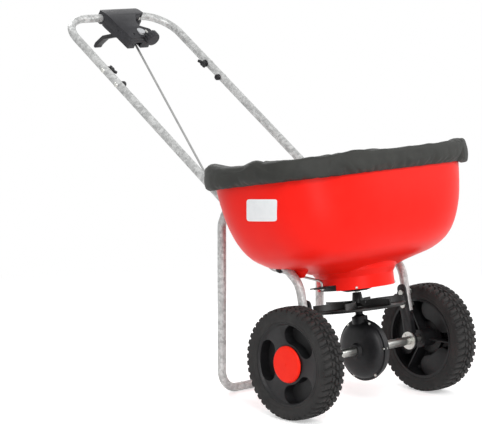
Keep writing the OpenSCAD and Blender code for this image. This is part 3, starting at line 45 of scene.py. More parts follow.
class Link:
    """A socket in a material's graph that ordinary arithmetic works on."""

    def __init__(self, tree, socket=None):
        self.tree = tree
        self.socket = socket

    def node(self, kind, settings=None, inputs=None, out=0):
        """A new node: its settings are set first, then the values or links of its sockets."""
        made = self.tree.nodes.new("ShaderNode" + kind)
        for key, value in (settings or {}).items():
            if key == "stops":
                ramp = made.color_ramp.elements
                while len(ramp) < len(value):
                    ramp.new(0.5)
                for stop, (place, colour) in zip(ramp, value):
                    stop.position = place
                    stop.color = colour
            else:
                setattr(made, key, value)
        for key, value in (inputs or {}).items():
            if isinstance(value, Link):
                self.tree.links.new(value.socket, made.inputs[key])
            else:
                made.inputs[key].default_value = value
        return Link(self.tree, made.outputs[out])

    def sum(self, operation, *values):
        """A Math node's result."""
        return self.node("Math", {"operation": operation}, dict(enumerate(values)))

    def __add__(self, other):
        return self.sum("ADD", self, other)

    def __mul__(self, other):
        return self.sum("MULTIPLY", self, other)

    def __pow__(self, other):
        return self.sum("POWER", self, other)

    __radd__ = __add__
    __rmul__ = __mul__

    def blend(self, low, high):
        """Colour that goes from low to high as this value goes from 0 to 1."""
        return self.node("Mix", {"data_type": "RGBA"}, {0: self, 6: low, 7: high}, out=2)

    def remap(self, low, high):
        """Number that goes from low to high as this value goes from 0 to 1."""
        return self.node("MapRange", {}, {0: self, 1: 0.0, 2: 1.0, 3: low, 4: high})

    def bump(self, height, strength, under=None):
        """Normal of a surface that this value raises by up to height, over another one."""
        inputs = {"Strength": strength, "Distance": height, "Height": self}
        if under is not None:
            inputs["Normal"] = under
        return self.node("Bump", {}, inputs)


def tint(red, green, blue):
    """Linear colour of a swatch given in display values from 0 to 255."""
    def linear(v):
        v /= 255
        return v / 12.92 if v < 0.04045 else ((v + 0.055) / 1.055) ** 2.4
    return linear(red), linear(green), linear(blue), 1.0


class Finish:
    """One material: its graph, the place on the surface, and the shader that ends it."""

    def __init__(self, name):
        self.material = bpy.data.materials.new(name)
        self.material.use_nodes = True
        self.tree = self.material.node_tree
        self.shader = self.tree.nodes["Principled BSDF"]
        self.start = Link(self.tree)
        self.place = self.start.node("TexCoord", out=3)

    def noise(self, scale, detail, rough=0.5, place=None):
        """Soft patches from 0 to 1, smaller as scale goes up."""
        return self.start.node("TexNoise", {}, {"Vector": place or self.place, "Scale": scale,
                                                "Detail": detail, "Roughness": rough})

    def stretched(self, x, y, z):
        """The place on the surface with its axes scaled, for grain that runs one way."""
        return self.start.node("Mapping", {}, {"Vector": self.place, "Scale": (x, y, z)})

    def set(self, **sockets):
        """Values or links of the shader's sockets, with _ for the spaces in their names."""
        for key, value in sockets.items():
            socket = self.shader.inputs[key.replace("_", " ")]
            if isinstance(value, Link):
                self.tree.links.new(value.socket, socket)
            else:
                socket.default_value = value

    def on(self, *names):
        """Dress solids in this material."""
        for name in names:
            piece = nodes[name]
            piece.data.materials.clear()
            piece.data.materials.append(self.material)


def plated(name, colour, cloud, gloss):
    """Bare or plated metal: its colour goes cloudy in places, over fine rings from the lathe."""
    finish = Finish(name)
    clouds = finish.noise(55, 4)
    rings = finish.noise(420, 2, place=finish.stretched(6, 1, 1))
    finish.set(Base_Color=clouds.blend(colour, cloud), Metallic=1.0,
               Roughness=clouds.remap(gloss, gloss + 0.16),
               Normal=rings.bump(0.0002, 0.25))
    return finish


zinc = plated("bright_zinc", tint(176, 176, 172), tint(214, 215, 210), 0.24)
zinc.on("axle", "axle_spacers", "axle_bearings", "axle_washers", "cotter_pins", "drive_pin",
        "hanger_bolts", "stand_bolts", "splice_bolts", "hopper_bolts", "gearbox_screws",
        "cage_screws", "control_screws", "impeller_shaft", "impeller_pin", "pinion_pin",
        "crown_pin", "agitator", "trigger_pin", "trigger_spring", "stop_screw", "rod_clips")


# ---- Gearbox ------------------------------------------------------------------------------
# Two moulded shells of black nylon, screwed together round a crown wheel and a sintered bronze
# pinion. The mould was spark-finished, which leaves a fine even grain.

def moulded(name, colour, wear, grain=0.5, gloss=0.42):
    """Moulded plastic with an even grain, paler where it is worn or dusty."""
    finish = Finish(name)
    patches = finish.noise(9, 5, 0.6)
    fine = finish.noise(1500, 1)
    dust = finish.noise(70, 6, 0.7) ** 3.0
    finish.set(Base_Color=(patches * 0.3 + dust * 1.2).blend(colour, wear),
               Roughness=patches.remap(gloss - 0.06, gloss + 0.14), Specular_IOR_Level=0.3,
               Normal=fine.bump(0.00012, grain, patches.bump(0.0004, 0.12)))
    return finish


# corners closer than weld_gap are one, faces that turn by less than flat_angle are one flat, and
# edges that turn by more than corner_angle are corners
weld_gap = 0.00002
flat_angle = math.radians(1)
corner_angle = math.radians(32)


def in_scene(name, data):
    """A new object for a mesh, a lamp or a camera."""
    piece = bpy.data.objects.new(name, data)
    bpy.context.scene.collection.objects.link(piece)
    return piece


def welded_copy(name, join_flats):
    """Copy of a solid's mesh, with the corners that its faces share made one. join_flats also
    makes one face of the triangles of each flat."""
    mesh = nodes[name].data.copy()
    welded = bmesh.new()
    welded.from_mesh(mesh)
    bmesh.ops.remove_doubles(welded, verts=welded.verts, dist=weld_gap)
    bmesh.ops.dissolve_degenerate(welded, edges=welded.edges, dist=weld_gap)
    if join_flats:
        bmesh.ops.dissolve_limit(welded, angle_limit=flat_angle, verts=welded.verts,
                                 edges=welded.edges)
    welded.to_mesh(mesh)
    welded.free()
    if "custom_normal" in mesh.attributes:
        mesh.attributes.remove(mesh.attributes["custom_normal"])
    return mesh


def applied(piece):
    """Turn an object's modifiers into its mesh."""
    mesh = bpy.data.meshes.new_from_object(
        piece.evaluated_get(bpy.context.evaluated_depsgraph_get()))
    piece.modifiers.clear()
    piece.data = mesh
    return mesh


def shade_smooth(mesh, sharp_angle):
    """Shade a mesh as one sweep, but for the edges that turn by more than sharp_angle."""
    mesh.polygons.foreach_set("use_smooth", [True] * len(mesh.polygons))
    mesh.set_sharp_from_angle(angle=sharp_angle)


def eased(name, body, finish, radius):
    """Stand-in for a moulding or pressing, with its hard corners eased by a small radius and its
    curved walls shaded as one sweep."""
    finish.on(name)
    piece = in_scene("eased_" + name, welded_copy(name, join_flats=True))
    bevel = piece.modifiers.new("ease", "BEVEL")
    bevel.width = radius
    bevel.segments = 2
    bevel.limit_method = "ANGLE"
    bevel.angle_limit = corner_angle
    bevel.use_clamp_overlap = True
    mesh = applied(piece)
    shade_smooth(mesh, corner_angle)
    mesh.materials.clear()
    mesh.materials.append(finish.material)
    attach(piece, body)
    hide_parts(name)


black_nylon = moulded("black_nylon", tint(9, 9, 10), tint(44, 44, 47))
for half in ("gearbox_left", "gearbox_right"):
    eased(half, "frame", black_nylon, radius=0.0006)

natural_nylon = moulded("natural_nylon", tint(222, 218, 204), tint(198, 190, 170), 0.2, 0.35)
natural_nylon.on("crown_gear")

bronze = plated("sintered_bronze", tint(150, 112, 66), tint(176, 136, 84), 0.42)
bronze.on("pinion", "gearbox_bushes", "shaft_bush")


# ---- Impeller -----------------------------------------------------------------------------
# One black moulding on the upright shaft, with curved fins. Seed and feed polish it, so it is
# glossier than the housings and carries a trace of pale dust.

impeller_black = moulded("impeller_black", tint(7, 7, 8), tint(46, 45, 43), 0.3, 0.32)
eased("impeller", "spinner", impeller_black, radius=0.0006)


# ---- Wheels -------------------------------------------------------------------------------
# Semi-solid tyres of black rubber pressed on to moulded wheel bodies, and a red cap snapped
# over each hub. The rubber is dull, with paler scuffs.

rubber = Finish("tyre_rubber")
scuffs = rubber.noise(26, 7, 0.65)
speckle = rubber.noise(900, 2)
rubber.set(Base_Color=(scuffs ** 2.0 * 1.4).blend(tint(16, 16, 17), tint(62, 61, 60)),
           Roughness=scuffs.remap(0.62, 0.86), Specular_IOR_Level=0.3,
           Normal=speckle.bump(0.0003, 0.35, scuffs.bump(0.0006, 0.2)))
rubber.on("tyre_left", "tyre_right")

wheel_r, bead_r, tyre_half, half_track = 0.140, 0.104, 0.035, 0.243
lug_count, lug_depth, steps_per_lug = 46, 0.006, 12
# each side of the tread has two rows of lugs: where a row starts and ends across the half tyre,
# how far round it is set off, and how much of the pitch a lug takes up
lug_rows = [(0.06, 0.30, 0.28, 0.72), (0.36, 1.01, 0.0, 0.66)]
# the slant of the rows, the slope of a lug's sides and the height that it starts from, the height
# of the ribs between the rows, and how far an edge turns that stays crisp
row_slant, lug_chamfer, side_foot, rib_height, lug_corner_angle = 0.55, 0.07, 0.2, 0.25, 0.75


def lug_height(across, turn):
    """How much of the tread's depth stands at a place: 1 on a lug and 0 in a groove. across is
    from -1 to 1 over the tyre, and turn is how many lugs round it the place is."""
    row = abs(across)
    for inner, outer, offset, land in lug_rows:
        if inner < row < outer:
            # the two sides are staggered, and the grooves run slantwise like an arrow's blades
            shift = offset + (0.0 if across > 0 else 0.5)
            place = (turn + shift + row_slant * row) % 1.0
            from_edge = min(place, land - place) if place < land else -1
            return min(1, max(0, from_edge / lug_chamfer + side_foot))
    return rib_height


def tyre_section():
    """The tyre's section from bead to bead over the tread: x, radius, and depth of the grooves."""
    wall = [(0.030, 0.0002), (0.0325, 0.003), (0.0335, 0.007), (0.0330, 0.009), (0.0335, 0.011),
            (0.0350, 0.015), (0.0350, 0.021)]
    shoulder = [(0.0350, 0.013, 0.0022), (0.0349, 0.009, 0.003), (0.0344, 0.0055, 0.0045)]
    crown = [(0.0330, 0.0034), (0.0300, 0.0020), (0.0240, 0.0011), (0.0180, 0.0006),
             (0.0134, 0.0004), (0.0122, 0.0004), (0.0108, 0.0003), (0.0098, 0.0002),
             (0.0060, 0), (0.0026, 0), (0.0016, 0)]
    half = ([(x, bead_r + up, 0) for x, up in wall]
            + [(x, wheel_r - down, depth) for x, down, depth in shoulder]
            + [(x, wheel_r - down, lug_depth) for x, down in crown])
    return half + [(-x, r, depth) for x, r, depth in reversed(half)]


def tyre(name, centre_x, body):
    """A tyre with its tread, run round the axle from its section."""
    section = tyre_section()
    count, steps = len(section), lug_count * steps_per_lug
    points, faces = [], []
    for k in range(steps):
        turn = 2 * math.pi * k / steps
        for x, r, depth in section:
            far = r - depth * (1 - lug_height(x / tyre_half, k / steps_per_lug))
            points.append((centre_x + x, far * math.sin(turn), wheel_r + far * math.cos(turn)))
        here, there = k * count, (k + 1) % steps * count
        for n in range(count):
            m = (n + 1) % count
            faces.append((here + n, there + n, there + m, here + m))
    mesh = bpy.data.meshes.new("lugged_" + name)
    mesh.from_pydata(points, [], faces)
    shade_smooth(mesh, lug_corner_angle)
    mesh.materials.append(rubber.material)
    piece = in_scene("lugged_" + name, mesh)
    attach(piece, body)
    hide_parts(name)


tyre("tyre_left", -half_track, "drive_axle")
tyre("tyre_right", half_track, "free_wheel")

wheel_black = moulded("wheel_black", tint(8, 8, 9), tint(40, 40, 42), 0.35, 0.38)
eased("rim_left", "drive_axle", wheel_black, radius=0.0010)
eased("rim_right", "free_wheel", wheel_black, radius=0.0010)

cap_red = Finish("cap_red")
mottle = cap_red.noise(40, 3)
cap_red.set(Base_Color=mottle.blend(tint(244, 30, 14), tint(250, 46, 24)),
            Roughness=mottle.remap(0.26, 0.38), Specular_IOR_Level=0.15,
            Normal=cap_red.noise(700, 1).bump(0.0001, 0.2))
cap_red.on("cap_left", "cap_right")


# ---- Hangers, tube ends and knobs ---------------------------------------------------------
# The hangers are steel plate, pressed and powder coated in satin black. The tube plugs, the
# wing knobs and the domed nuts are black mouldings.

powder = Finish("black_powder_coat")
orange_peel = powder.noise(800, 2)
chips = powder.noise(38, 5, 0.7)
powder.set(Base_Color=(chips ** 4.0 * 2.0).blend(tint(18, 18, 20), tint(64, 64, 66)),
           Roughness=chips.remap(0.36, 0.5), Specular_IOR_Level=0.35,
           Normal=orange_peel.bump(0.0003, 0.25))
for hanger in ("hanger_left", "hanger_right"):
    eased(hanger, "frame", powder, radius=0.0007)
black_nylon.on("tube_plugs")
for knobs in ("splice_nuts", "wing_knobs", "hopper_nuts"):
    eased(knobs, "frame", black_nylon, radius=0.0006)


# ---- Frame tubes, handle and stand --------------------------------------------------------
# Steel tube, bent cold and hot-dip galvanised. The zinc sets in crystals of several greys, some
# 7 mm across, and it has weathered unevenly.

galvanised = Finish("galvanised_tube")
crystals = galvanised.start.node("TexVoronoi", {"feature": "F1"}, {
    "Vector": galvanised.place, "Scale": 150.0, "Randomness": 1.0}, out=1)
shade = crystals.node("SeparateColor", {}, {0: crystals})
weather = galvanised.noise(60, 6, 0.62)
zinc_mix = shade * 0.34 + weather * 0.66
galvanised.set(
    Base_Color=zinc_mix.node("ValToRGB", {"stops": [
        (0.15, tint(150, 151, 151)), (0.42, tint(178, 179, 178)),
        (0.62, tint(200, 201, 200)), (0.9, tint(222, 223, 222))]}, {0: zinc_mix}),
    Metallic=0.45, Roughness=zinc_mix.remap(0.62, 0.4),
    Normal=weather.bump(0.0005, 0.25, shade.bump(0.0001, 0.12)))
galvanised.on("side_tube_left", "side_tube_right", "upper_handle", "stand")


# ---- Hopper -------------------------------------------------------------------------------
# One deep moulding of bright red plastic, with a rolled rim, channels for the tubes and a
# round spout. The outside is glossy with the faint waves of a thin-walled moulding.

red_shell = Finish("hopper_red")
waves = red_shell.noise(7, 2, 0.4)
haze = red_shell.noise(24, 5, 0.6)
red_shell.set(
    Base_Color=haze.blend(tint(240, 22, 12), tint(246, 34, 22)),
    Roughness=haze.remap(0.32, 0.46), Specular_IOR_Level=0.15,
    Normal=red_shell.noise(900, 1).bump(0.0001, 0.12, waves.bump(0.003, 0.2)))
red_shell.on("hopper")

# the moulding's walls run in one sweep, and only its true corners are crisp
sweep_angle = math.radians(24)
moulding = in_scene("hopper_moulding", welded_copy("hopper", join_flats=False))
creased = bmesh.new()
creased.from_mesh(moulding.data)
crease = creased.edges.layers.float.new("crease_edge")
for edge in creased.edges:
    if len(edge.link_faces) != 2 or edge.calc_face_angle(0) > sweep_angle:
        edge[crease] = 1.0
creased.to_mesh(moulding.data)
creased.free()
swept = moulding.modifiers.new("swept", "SUBSURF")
swept.levels = swept.render_levels = 1
shade_smooth(applied(moulding), sweep_angle)
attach(moulding, "frame")
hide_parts("hopper")
bpy.context.view_layer.update()


def grid_border(across, up):
    """Places on the border of a grid, in order round it."""
    return ([(i, 0) for i in range(across)] + [(across, j) for j in range(up)]
            + [(across - i, up) for i in range(across)] + [(0, up - j) for j in range(up)])


# a bare white label plate stuck on the left of the bowl, with its corners rounded
paper = Finish("label_plate")
print_haze = paper.noise(60, 4)
paper.set(Base_Color=print_haze.blend(tint(226, 230, 232), tint(240, 242, 243)),
          Roughness=print_haze.remap(0.3, 0.42), Normal=print_haze.bump(0.0002, 0.1))

# the bowl and the tubes lean back about the axle, and the plate is pressed on to the wall from
# the left along that lean
lean = Matrix.Translation((0, 0, wheel_r)) @ Matrix.Rotation(math.radians(-9.8), 4, "X")
into_shell = moulding.matrix_world.inverted()
inward = (into_shell.to_3x3() @ (lean.to_3x3() @ Vector((1, 0, 0)))).normalized()
left_of_bowl = -0.6
low_back, low_front = Vector((left_of_bowl, 0.036, 0.3595)), Vector((left_of_bowl, -0.063, 0.352))
high_back, high_front = Vector((left_of_bowl, 0.017, 0.413)), Vector((left_of_bowl, -0.079, 0.405))
plate_across, plate_up = 20, 12
plate_face, plate_back = 0.0009, 0.0002
corner_power, pull_across, pull_up = 12, 0.042, 0.072
plate_points, plate_faces = [], []
for off_wall in (plate_face, plate_back):
    for j in range(plate_up + 1):
        for i in range(plate_across + 1):
            u, v = 2 * i / plate_across - 1, 2 * j / plate_up - 1
            # the outer rows draw in to round the corners
            corner = abs(u * v) ** corner_power
            along = 0.5 + 0.5 * u * (1 - pull_across * corner)
            rise = 0.5 + 0.5 * v * (1 - pull_up * corner)
            spot = low_back.lerp(low_front, along).lerp(high_back.lerp(high_front, along), rise)
            _, place, normal, _ = moulding.ray_cast(into_shell @ (lean @ spot), inward)
            plate_points.append(moulding.matrix_world @ (place + normal * off_wall))
row_size = plate_across + 1
layer_size = row_size * (plate_up + 1)
for j in range(plate_up):
    for i in range(plate_across):
        k = j * row_size + i
        quad = (k, k + 1, k + row_size + 1, k + row_size)
        plate_faces.append(quad)
        plate_faces.append(tuple(layer_size + n for n in reversed(quad)))
plate_edge = [j * row_size + i for i, j in grid_border(plate_across, plate_up)]
for k, n in zip(plate_edge, plate_edge[1:] + plate_edge[:1]):
    plate_faces.append((n, k, layer_size + k, layer_size + n))
plate_mesh = bpy.data.meshes.new("label_plate")
plate_mesh.from_pydata(plate_points, [], plate_faces)
plate_mesh.materials.append(paper.material)
plate = in_scene("label_plate", plate_mesh)
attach(plate, "frame")


# ---- Metering gear ------------------------------------------------------------------------
# The floor of the spout with its ports, the shutter that turns under it and the cage that carries
# the shutter are mouldings of the same black nylon as the gearbox.

black_nylon.on("port_plate", "shutter", "shutter_cage")


# ---- Control rod and hand control ---------------------------------------------------------
# A steel rod runs from the lever to the shutter. The lever, the dial and the two shells of the
# control are black mouldings on the crossbar, with a pale scale let into the top.

rod_steel = plated("rod_steel", tint(150, 151, 152), tint(184, 184, 182), 0.34)
rod_steel.on("control_rod")
control_black = moulded("control_black", tint(30, 30, 33), tint(66, 66, 70), 0.4, 0.4)
lever_black = moulded("lever_black", tint(16, 16, 18), tint(40, 40, 43), 0.3, 0.36)
eased("control_base", "frame", control_black, radius=0.0011)
eased("control_cover", "frame", control_black, radius=0.0011)
eased("trigger", "lever", lever_black, radius=0.0009)
eased("rate_dial", "dial", control_black, radius=0.0005)

scale_grey = Finish("scale_grey")
ring_marks = scale_grey.noise(300, 2)
scale_grey.set(Base_Color=ring_marks.blend(tint(176, 178, 180), tint(196, 198, 200)),
               Roughness=ring_marks.remap(0.4, 0.55),
               Normal=ring_marks.bump(0.0001, 0.2))
scale_grey.on("dial_scale")


# ---- Cover --------------------------------------------------------------------------------
# A fitted sheet of dark proofed cloth over the hopper, with elastic in its hem. It is drawn
# nearly flat across the bowl, bags in places round the rim and gathers along the hem.

fabric = Finish("cover_cloth")
warp, weft = [fabric.start.node("TexWave", {"wave_type": "BANDS", "bands_direction": way},
                                {"Vector": fabric.place, "Scale": 260.0, "Distortion": 0.4})
              for way in "XY"]
fade = fabric.noise(14, 6, 0.6)
fabric.set(Base_Color=fade.blend(tint(10, 11, 10), tint(60, 61, 57)),
           Roughness=fade.remap(0.5, 0.76), Specular_IOR_Level=0.35,
           Normal=(warp * weft).bump(0.0003, 0.35, fade.bump(0.001, 0.2)))
fabric.on("cover_sheet")

# the rim's oval, and the bead of its roll: how far in its middle runs, how far down, and the
# radius at which the cloth lies on it
half_x, half_y, rim_middle, rim_top, oval_power = 0.344, 0.233, 0.014, 0.490, 3
roll_inner, roll_outer, roll_down, roll_r = -0.022, -0.003, 0.0045, 0.0095
tiny = 1e-6


def on_oval(u, v, reach, height):
    """A place on the rim's oval grown by reach: u and v run over the square from -1 to 1."""
    edge = max(abs(u), abs(v))
    k = edge and (abs(u / edge) ** oval_power + abs(v / edge) ** oval_power) ** (-1 / oval_power)
    return Vector(((half_x + reach) * u * k, rim_middle + (half_y + reach) * v * k, height))


def hump(u, v, place, half):
    """1 at the side of the cover that faces place in degrees, easing to 0 at half degrees off."""
    off = abs((math.degrees(math.atan2(v, u)) - place + 180) % 360 - 180) / half
    return 0.5 + 0.5 * math.cos(math.pi * min(1, off))


def hem_drop(u, v):
    """How far down the skirt hangs, as a share of its plain depth."""
    return (0.76 - 0.24 * hump(u, v, 182, 48) + 0.26 * hump(u, v, 235, 13)
            + 0.34 * hump(u, v, 318, 30))


def slack(u, v):
    """Height of the loose cloth that stands over the rim: a few bags round the corners."""
    return (0.012 * hump(u, v, 153, 24) + 0.008 * hump(u, v, 193, 10) + 0.006 * hump(u, v, 245, 9)
            + 0.007 * hump(u, v, 313, 12) + 0.006 * hump(u, v, 40, 20) + 0.004 * hump(u, v, 95, 18))


def pull(u, v):
    """How much of the cloth's rise over the rim the elastic takes away, as a share."""
    return 0.7 * hump(u, v, 276, 40) + 0.4 * hump(u, v, 215, 18)


def creases(spot):
    """Small dents and ridges of the cloth, large ones and fine ones."""
    return noise.noise(spot * 22) * 0.0045 + noise.noise(spot * 55) * 0.0018


def gathers(u, v):
    """Folds that the elastic draws in, from -1 to 1 round the hem."""
    turn = math.atan2(v, u)
    wander = noise.noise(Vector((3 * math.cos(turn), 3 * math.sin(turn), 0.4)))
    return 0.6 * math.sin(44 * turn + 9 * wander) + 0.4 * math.sin(97 * turn - 14 * wander)


# the top as a grid, then the skirt in rows from the top's edge down to the hem
cells_x, cells_y = 84, 58
top_reach, top_rise, hem_depth = -0.007, 0.005, 0.0455
skirt = [(-0.001, 0.0035), (0.002, 0.001), (0.003, -0.004), (0.0035, -0.010), (0.0035, -0.017),
         (0.003, -0.025), (0.001, -0.032), (-0.002, -0.038), (-0.006, -0.0425), (-0.010, -hem_depth)]
cloth_points, cloth_faces, cloth_at, cloth_spots = [], [], {}, []
for j in range(cells_y + 1):
    for i in range(cells_x + 1):
        u, v = 2 * i / cells_x - 1, 2 * j / cells_y - 1
        cloth_at[i, j] = len(cloth_points)
        cloth_points.append(on_oval(u, v, top_reach, rim_top + top_rise))
        cloth_spots.append((u, v, 0.0))
for j in range(cells_y):
    for i in range(cells_x):
        cloth_faces.append((cloth_at[i, j], cloth_at[i + 1, j],
                            cloth_at[i + 1, j + 1], cloth_at[i, j + 1]))
border = grid_border(cells_x, cells_y)
row = [cloth_at[place] for place in border]
for reach, rise in skirt:
    below = []
    for i, j in border:
        u, v = 2 * i / cells_x - 1, 2 * j / cells_y - 1
        below.append(len(cloth_points))
        # the elastic draws the skirt down in places and never up
        cloth_points.append(on_oval(u, v, reach, rim_top + min(rise, rise * hem_drop(u, v))))
        cloth_spots.append((u, v, min(1, max(0, -rise / hem_depth))))
    for k in range(len(border)):
        n = (k + 1) % len(border)
        cloth_faces.append((row[n], row[k], below[k], below[n]))
    row = below

cloth_mesh = bpy.data.meshes.new("cover_cloth")
cloth_mesh.from_pydata([lean @ p for p in cloth_points], [], cloth_faces)
cover = in_scene("cover_cloth", cloth_mesh)
cut_at = [v.co.copy() for v in cloth_mesh.vertices]

# the roll of the rim, for the cloth to lie on
roll = [(-0.018, -0.006), (-0.012, 0.0), (-0.004, 0.001), (0.0015, -0.0025), (0.003, -0.009),
        (0.002, -0.018), (-0.006, -0.024), (-0.016, -0.022)]
roll_steps = 96
roll_points, roll_faces = [], []
for s in range(roll_steps):
    turn = 2 * math.pi * s / roll_steps
    far = max(abs(math.cos(turn)), abs(math.sin(turn)))
    here, there = s * len(roll), (s + 1) % roll_steps * len(roll)
    for k, (reach, up) in enumerate(roll):
        n = (k + 1) % len(roll)
        spot = on_oval(math.cos(turn) / far, math.sin(turn) / far, reach, rim_top + up)
        roll_points.append(lean @ spot)
        roll_faces.append((here + k, here + n, there + n, there + k))
roll_mesh = bpy.data.meshes.new("rim_roll")
roll_mesh.from_pydata(roll_points, [], roll_faces)
rim_roll = in_scene("rim_roll", roll_mesh)
rim_roll.modifiers.new("hard", "COLLISION")
rim_roll.collision.thickness_outer = 0.002

held = cover.vertex_groups.new(name="hem")
held.add(row, 1.0, "REPLACE")
drape = cover.modifiers.new("drape", "CLOTH")
drape.settings.vertex_group_mass = "hem"
drape.settings.quality = 6
drape.settings.mass = 0.12
drape.settings.tension_stiffness = 12
drape.settings.compression_stiffness = 12
drape.settings.shear_stiffness = 3
drape.settings.bending_stiffness = 0.25
drape.settings.shrink_min = -0.11
drape.settings.effector_weights.gravity = 0.1
drape.settings.use_pressure = True
drape.settings.uniform_pressure_force = 0.25
drape.collision_settings.distance_min = 0.002
drape.collision_settings.use_self_collision = False
frames = 26
drape.point_cache.frame_end = frames
for number in range(1, frames + 1):
    bpy.context.scene.frame_set(number)
settled = cover.evaluated_get(bpy.context.evaluated_depsgraph_get()).to_mesh()
# no part of the cloth settles further than this from where it was cut
furthest = 0.024
for vertex, found, was in zip(cloth_mesh.vertices, settled.vertices, cut_at):
    moved = found.co - was
    vertex.co = was + moved * min(1, furthest / max(moved.length, tiny))
cloth_mesh.update()

# the settled cloth is then dressed: the share of its rise that the middle keeps, where the
# bags start and over how much of the way to the edge they fill, the rise that the elastic leaves,
# the depth of the gathers, and how far out the skirt may stand before it is drawn in by a share
middle_share, loose_from, loose_over = 0.3, 0.55, 0.35
left_rise, gather_depth, most_reach, drawn_share = 0.004, 0.0022, 0.003, 0.7
level = lean.inverted()
for vertex, was, (u, v, fall) in zip(cloth_mesh.vertices, cut_at, cloth_spots):
    spot, outward = level @ vertex.co, (level.to_3x3() @ vertex.normal).normalized()
    edge = max(abs(u), abs(v))
    # the middle is drawn nearly flat
    flat_z = (level @ was).z
    spot.z = flat_z + (spot.z - flat_z) * (middle_share + (1 - middle_share) * edge ** 6)
    # bags stand over the rim where the cloth is loose, and the elastic pulls it down elsewhere
    upper = min(1, max(0, (edge - loose_from) / loose_over)) ** 2 * (1 - fall) ** 1.2
    dent = creases(spot) * min(1, edge ** 4 + 0.25) * (1 - fall)
    pulled = max(0, spot.z - rim_top - left_rise) * pull(u, v) * edge ** 4
    spot.z += slack(u, v) * upper - pulled
    spot += outward * (dent + 0.1 * slack(u, v) * upper)
    gathered = gather_depth * (gathers(u, v) + 0.7) * min(1, 1.6 * fall)
    spot += outward * gathered * (1 - 0.6 * fall ** 4)
    # cloth that stands off the rim is drawn in, and cloth inside its roll is pushed out
    from_middle = Vector((spot.x, spot.y - rim_middle, 0))
    size = (abs(spot.x / half_x) ** oval_power
            + abs(from_middle.y / half_y) ** oval_power) ** (1 / oval_power)
    reach = (size - 1) * from_middle.length / max(size, tiny)
    away = from_middle.normalized()
    drawn_in = drawn_share * max(0, reach - most_reach)
    spot -= away * drawn_in
    reach -= drawn_in
    near = min(roll_outer, max(roll_inner, reach))
    gap = Vector((reach - near, spot.z - (rim_top - roll_down)))
    if tiny < gap.length < roll_r:
        push = gap.normalized() * (roll_r - gap.length)
        spot += away * push.x + Vector((0, 0, push.y))
    vertex.co = lean @ spot
cover.modifiers.clear()
bpy.data.objects.remove(rim_roll)
bpy.context.scene.frame_set(1)

# the cloth has a thickness
for polygon in cloth_mesh.polygons:
    polygon.use_smooth = True
finer = cover.modifiers.new("finer", "SUBSURF")
finer.levels = finer.render_levels = 1
thick = cover.modifiers.new("thick", "SOLIDIFY")
thick.thickness = 0.0012
thick.offset = -1
final = applied(cover)
final.materials.clear()
final.materials.append(fabric.material)
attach(cover, "cover")
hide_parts("cover_sheet")


# ---- Studio -------------------------------------------------------------------------------
# A pale floor and backdrop with soft lamps on both sides. Camera, gloss and glass see the
# backdrop as white, and the lamps keep the object's shadow on the floor.

def seen_by_camera(start):
    """1 for a ray from the camera, straight or by way of gloss or glass, and 0 for light's rays."""
    rays = start.node("LightPath").socket.node.outputs
    straight, gloss, glass = [Link(start.tree, rays["Is " + kind + " Ray"])
                              for kind in ("Camera", "Glossy", "Transmission")]
    return start.sum("MINIMUM", straight + gloss + glass, 1.0)


white = (1, 1, 1, 1)
ambient = 0.55
floor_half, floor_near, floor_far = 14.0, 0.7, 2.2

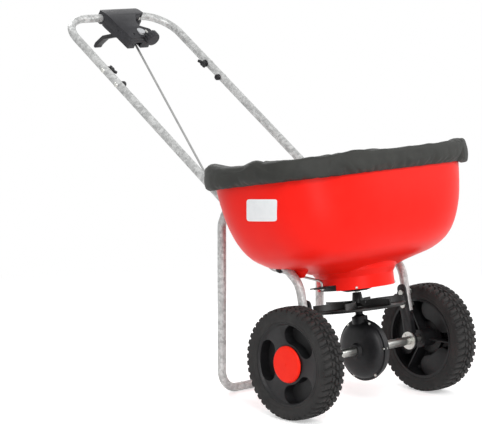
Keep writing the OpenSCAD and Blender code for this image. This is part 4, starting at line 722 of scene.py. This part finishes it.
# the lamps light the floor round the object, and it fades to plain white away from it
backing = Finish("studio_floor")
floor_tone = backing.noise(2.0, 2)
backing.set(Base_Color=floor_tone.blend((0.86, 0.86, 0.86, 1), (0.9, 0.9, 0.9, 1)), Roughness=0.9)
seen = seen_by_camera(backing.start)
away = backing.place.node("VectorMath", {"operation": "LENGTH"}, {0: backing.place}, out=1)
fade_out = away.node("MapRange", {"interpolation_type": "SMOOTHSTEP"},
                     {0: away, 1: floor_near, 2: floor_far, 3: 0.0, 4: 1.0})
glow = backing.start.node("Emission", {}, {"Color": white, "Strength": seen * 0.42})
lit = backing.start.node("AddShader", {}, {0: Link(backing.tree, backing.shader.outputs[0]), 1: glow})
plain = backing.start.node("Emission", {}, {"Color": white,
                                            "Strength": seen * (1 - ambient) + ambient})
both = backing.start.node("MixShader", {}, {0: fade_out, 1: lit, 2: plain})
backing.tree.links.new(both.socket, backing.tree.nodes["Material Output"].inputs[0])

floor_mesh = bpy.data.meshes.new("studio_floor")
floor_mesh.from_pydata([(x * floor_half, y * floor_half, 0)
                        for x, y in ((-1, -1), (1, -1), (1, 1), (-1, 1))], [], [(0, 1, 2, 3)])
floor_mesh.materials.append(backing.material)
floor = in_scene("studio_floor", floor_mesh)

world = bpy.data.worlds.new("studio_world")
bpy.context.scene.world = world
world.use_nodes = True
backdrop = world.node_tree.nodes["Background"]
backdrop.inputs["Color"].default_value = white
sky_strength = seen_by_camera(Link(world.node_tree)) * (1 - ambient) + ambient
world.node_tree.links.new(sky_strength.socket, backdrop.inputs["Strength"])

middle = Vector((0, 0.35, 0.45))


def lamp(name, place, size, power):
    """A round soft lamp that faces the middle of the object."""
    data = bpy.data.lights.new(name, "AREA")
    data.shape = "DISK"
    data.size = size
    data.energy = power
    light = in_scene(name, data)
    light.location = place
    light.rotation_euler = (middle - Vector(place)).to_track_quat("-Z", "Y").to_euler()


lamp("key_lamp", (-2.6, -3.4, 3.6), 2.6, 132)
lamp("fill_lamp", (3.4, -2.6, 2.4), 3.0, 66)
lamp("low_lamp", (-1.6, -3.6, 0.35), 1.6, 34)
lamp("back_lamp", (0.8, 3.6, 3.2), 2.6, 90)

# the camera stands off the front left corner and looks a little down
camera_data = bpy.data.cameras.new("camera")
camera = in_scene("camera", camera_data)
aim = Vector((-0.236, 0.2, 0.4862))
azimuth, elevation, distance = math.radians(-43.54), math.radians(8.008), 5.6986
camera.location = aim + distance * Vector((
    math.sin(azimuth) * math.cos(elevation), -math.cos(azimuth) * math.cos(elevation),
    math.sin(elevation)))
camera.rotation_euler = (aim - camera.location).to_track_quat("-Z", "Y").to_euler()
camera_data.sensor_width = 36
camera_data.lens = 170.6
camera_data.shift_y = 0.0054
bpy.context.scene.camera = camera
bpy.context.scene.view_settings.view_transform = "Standard"
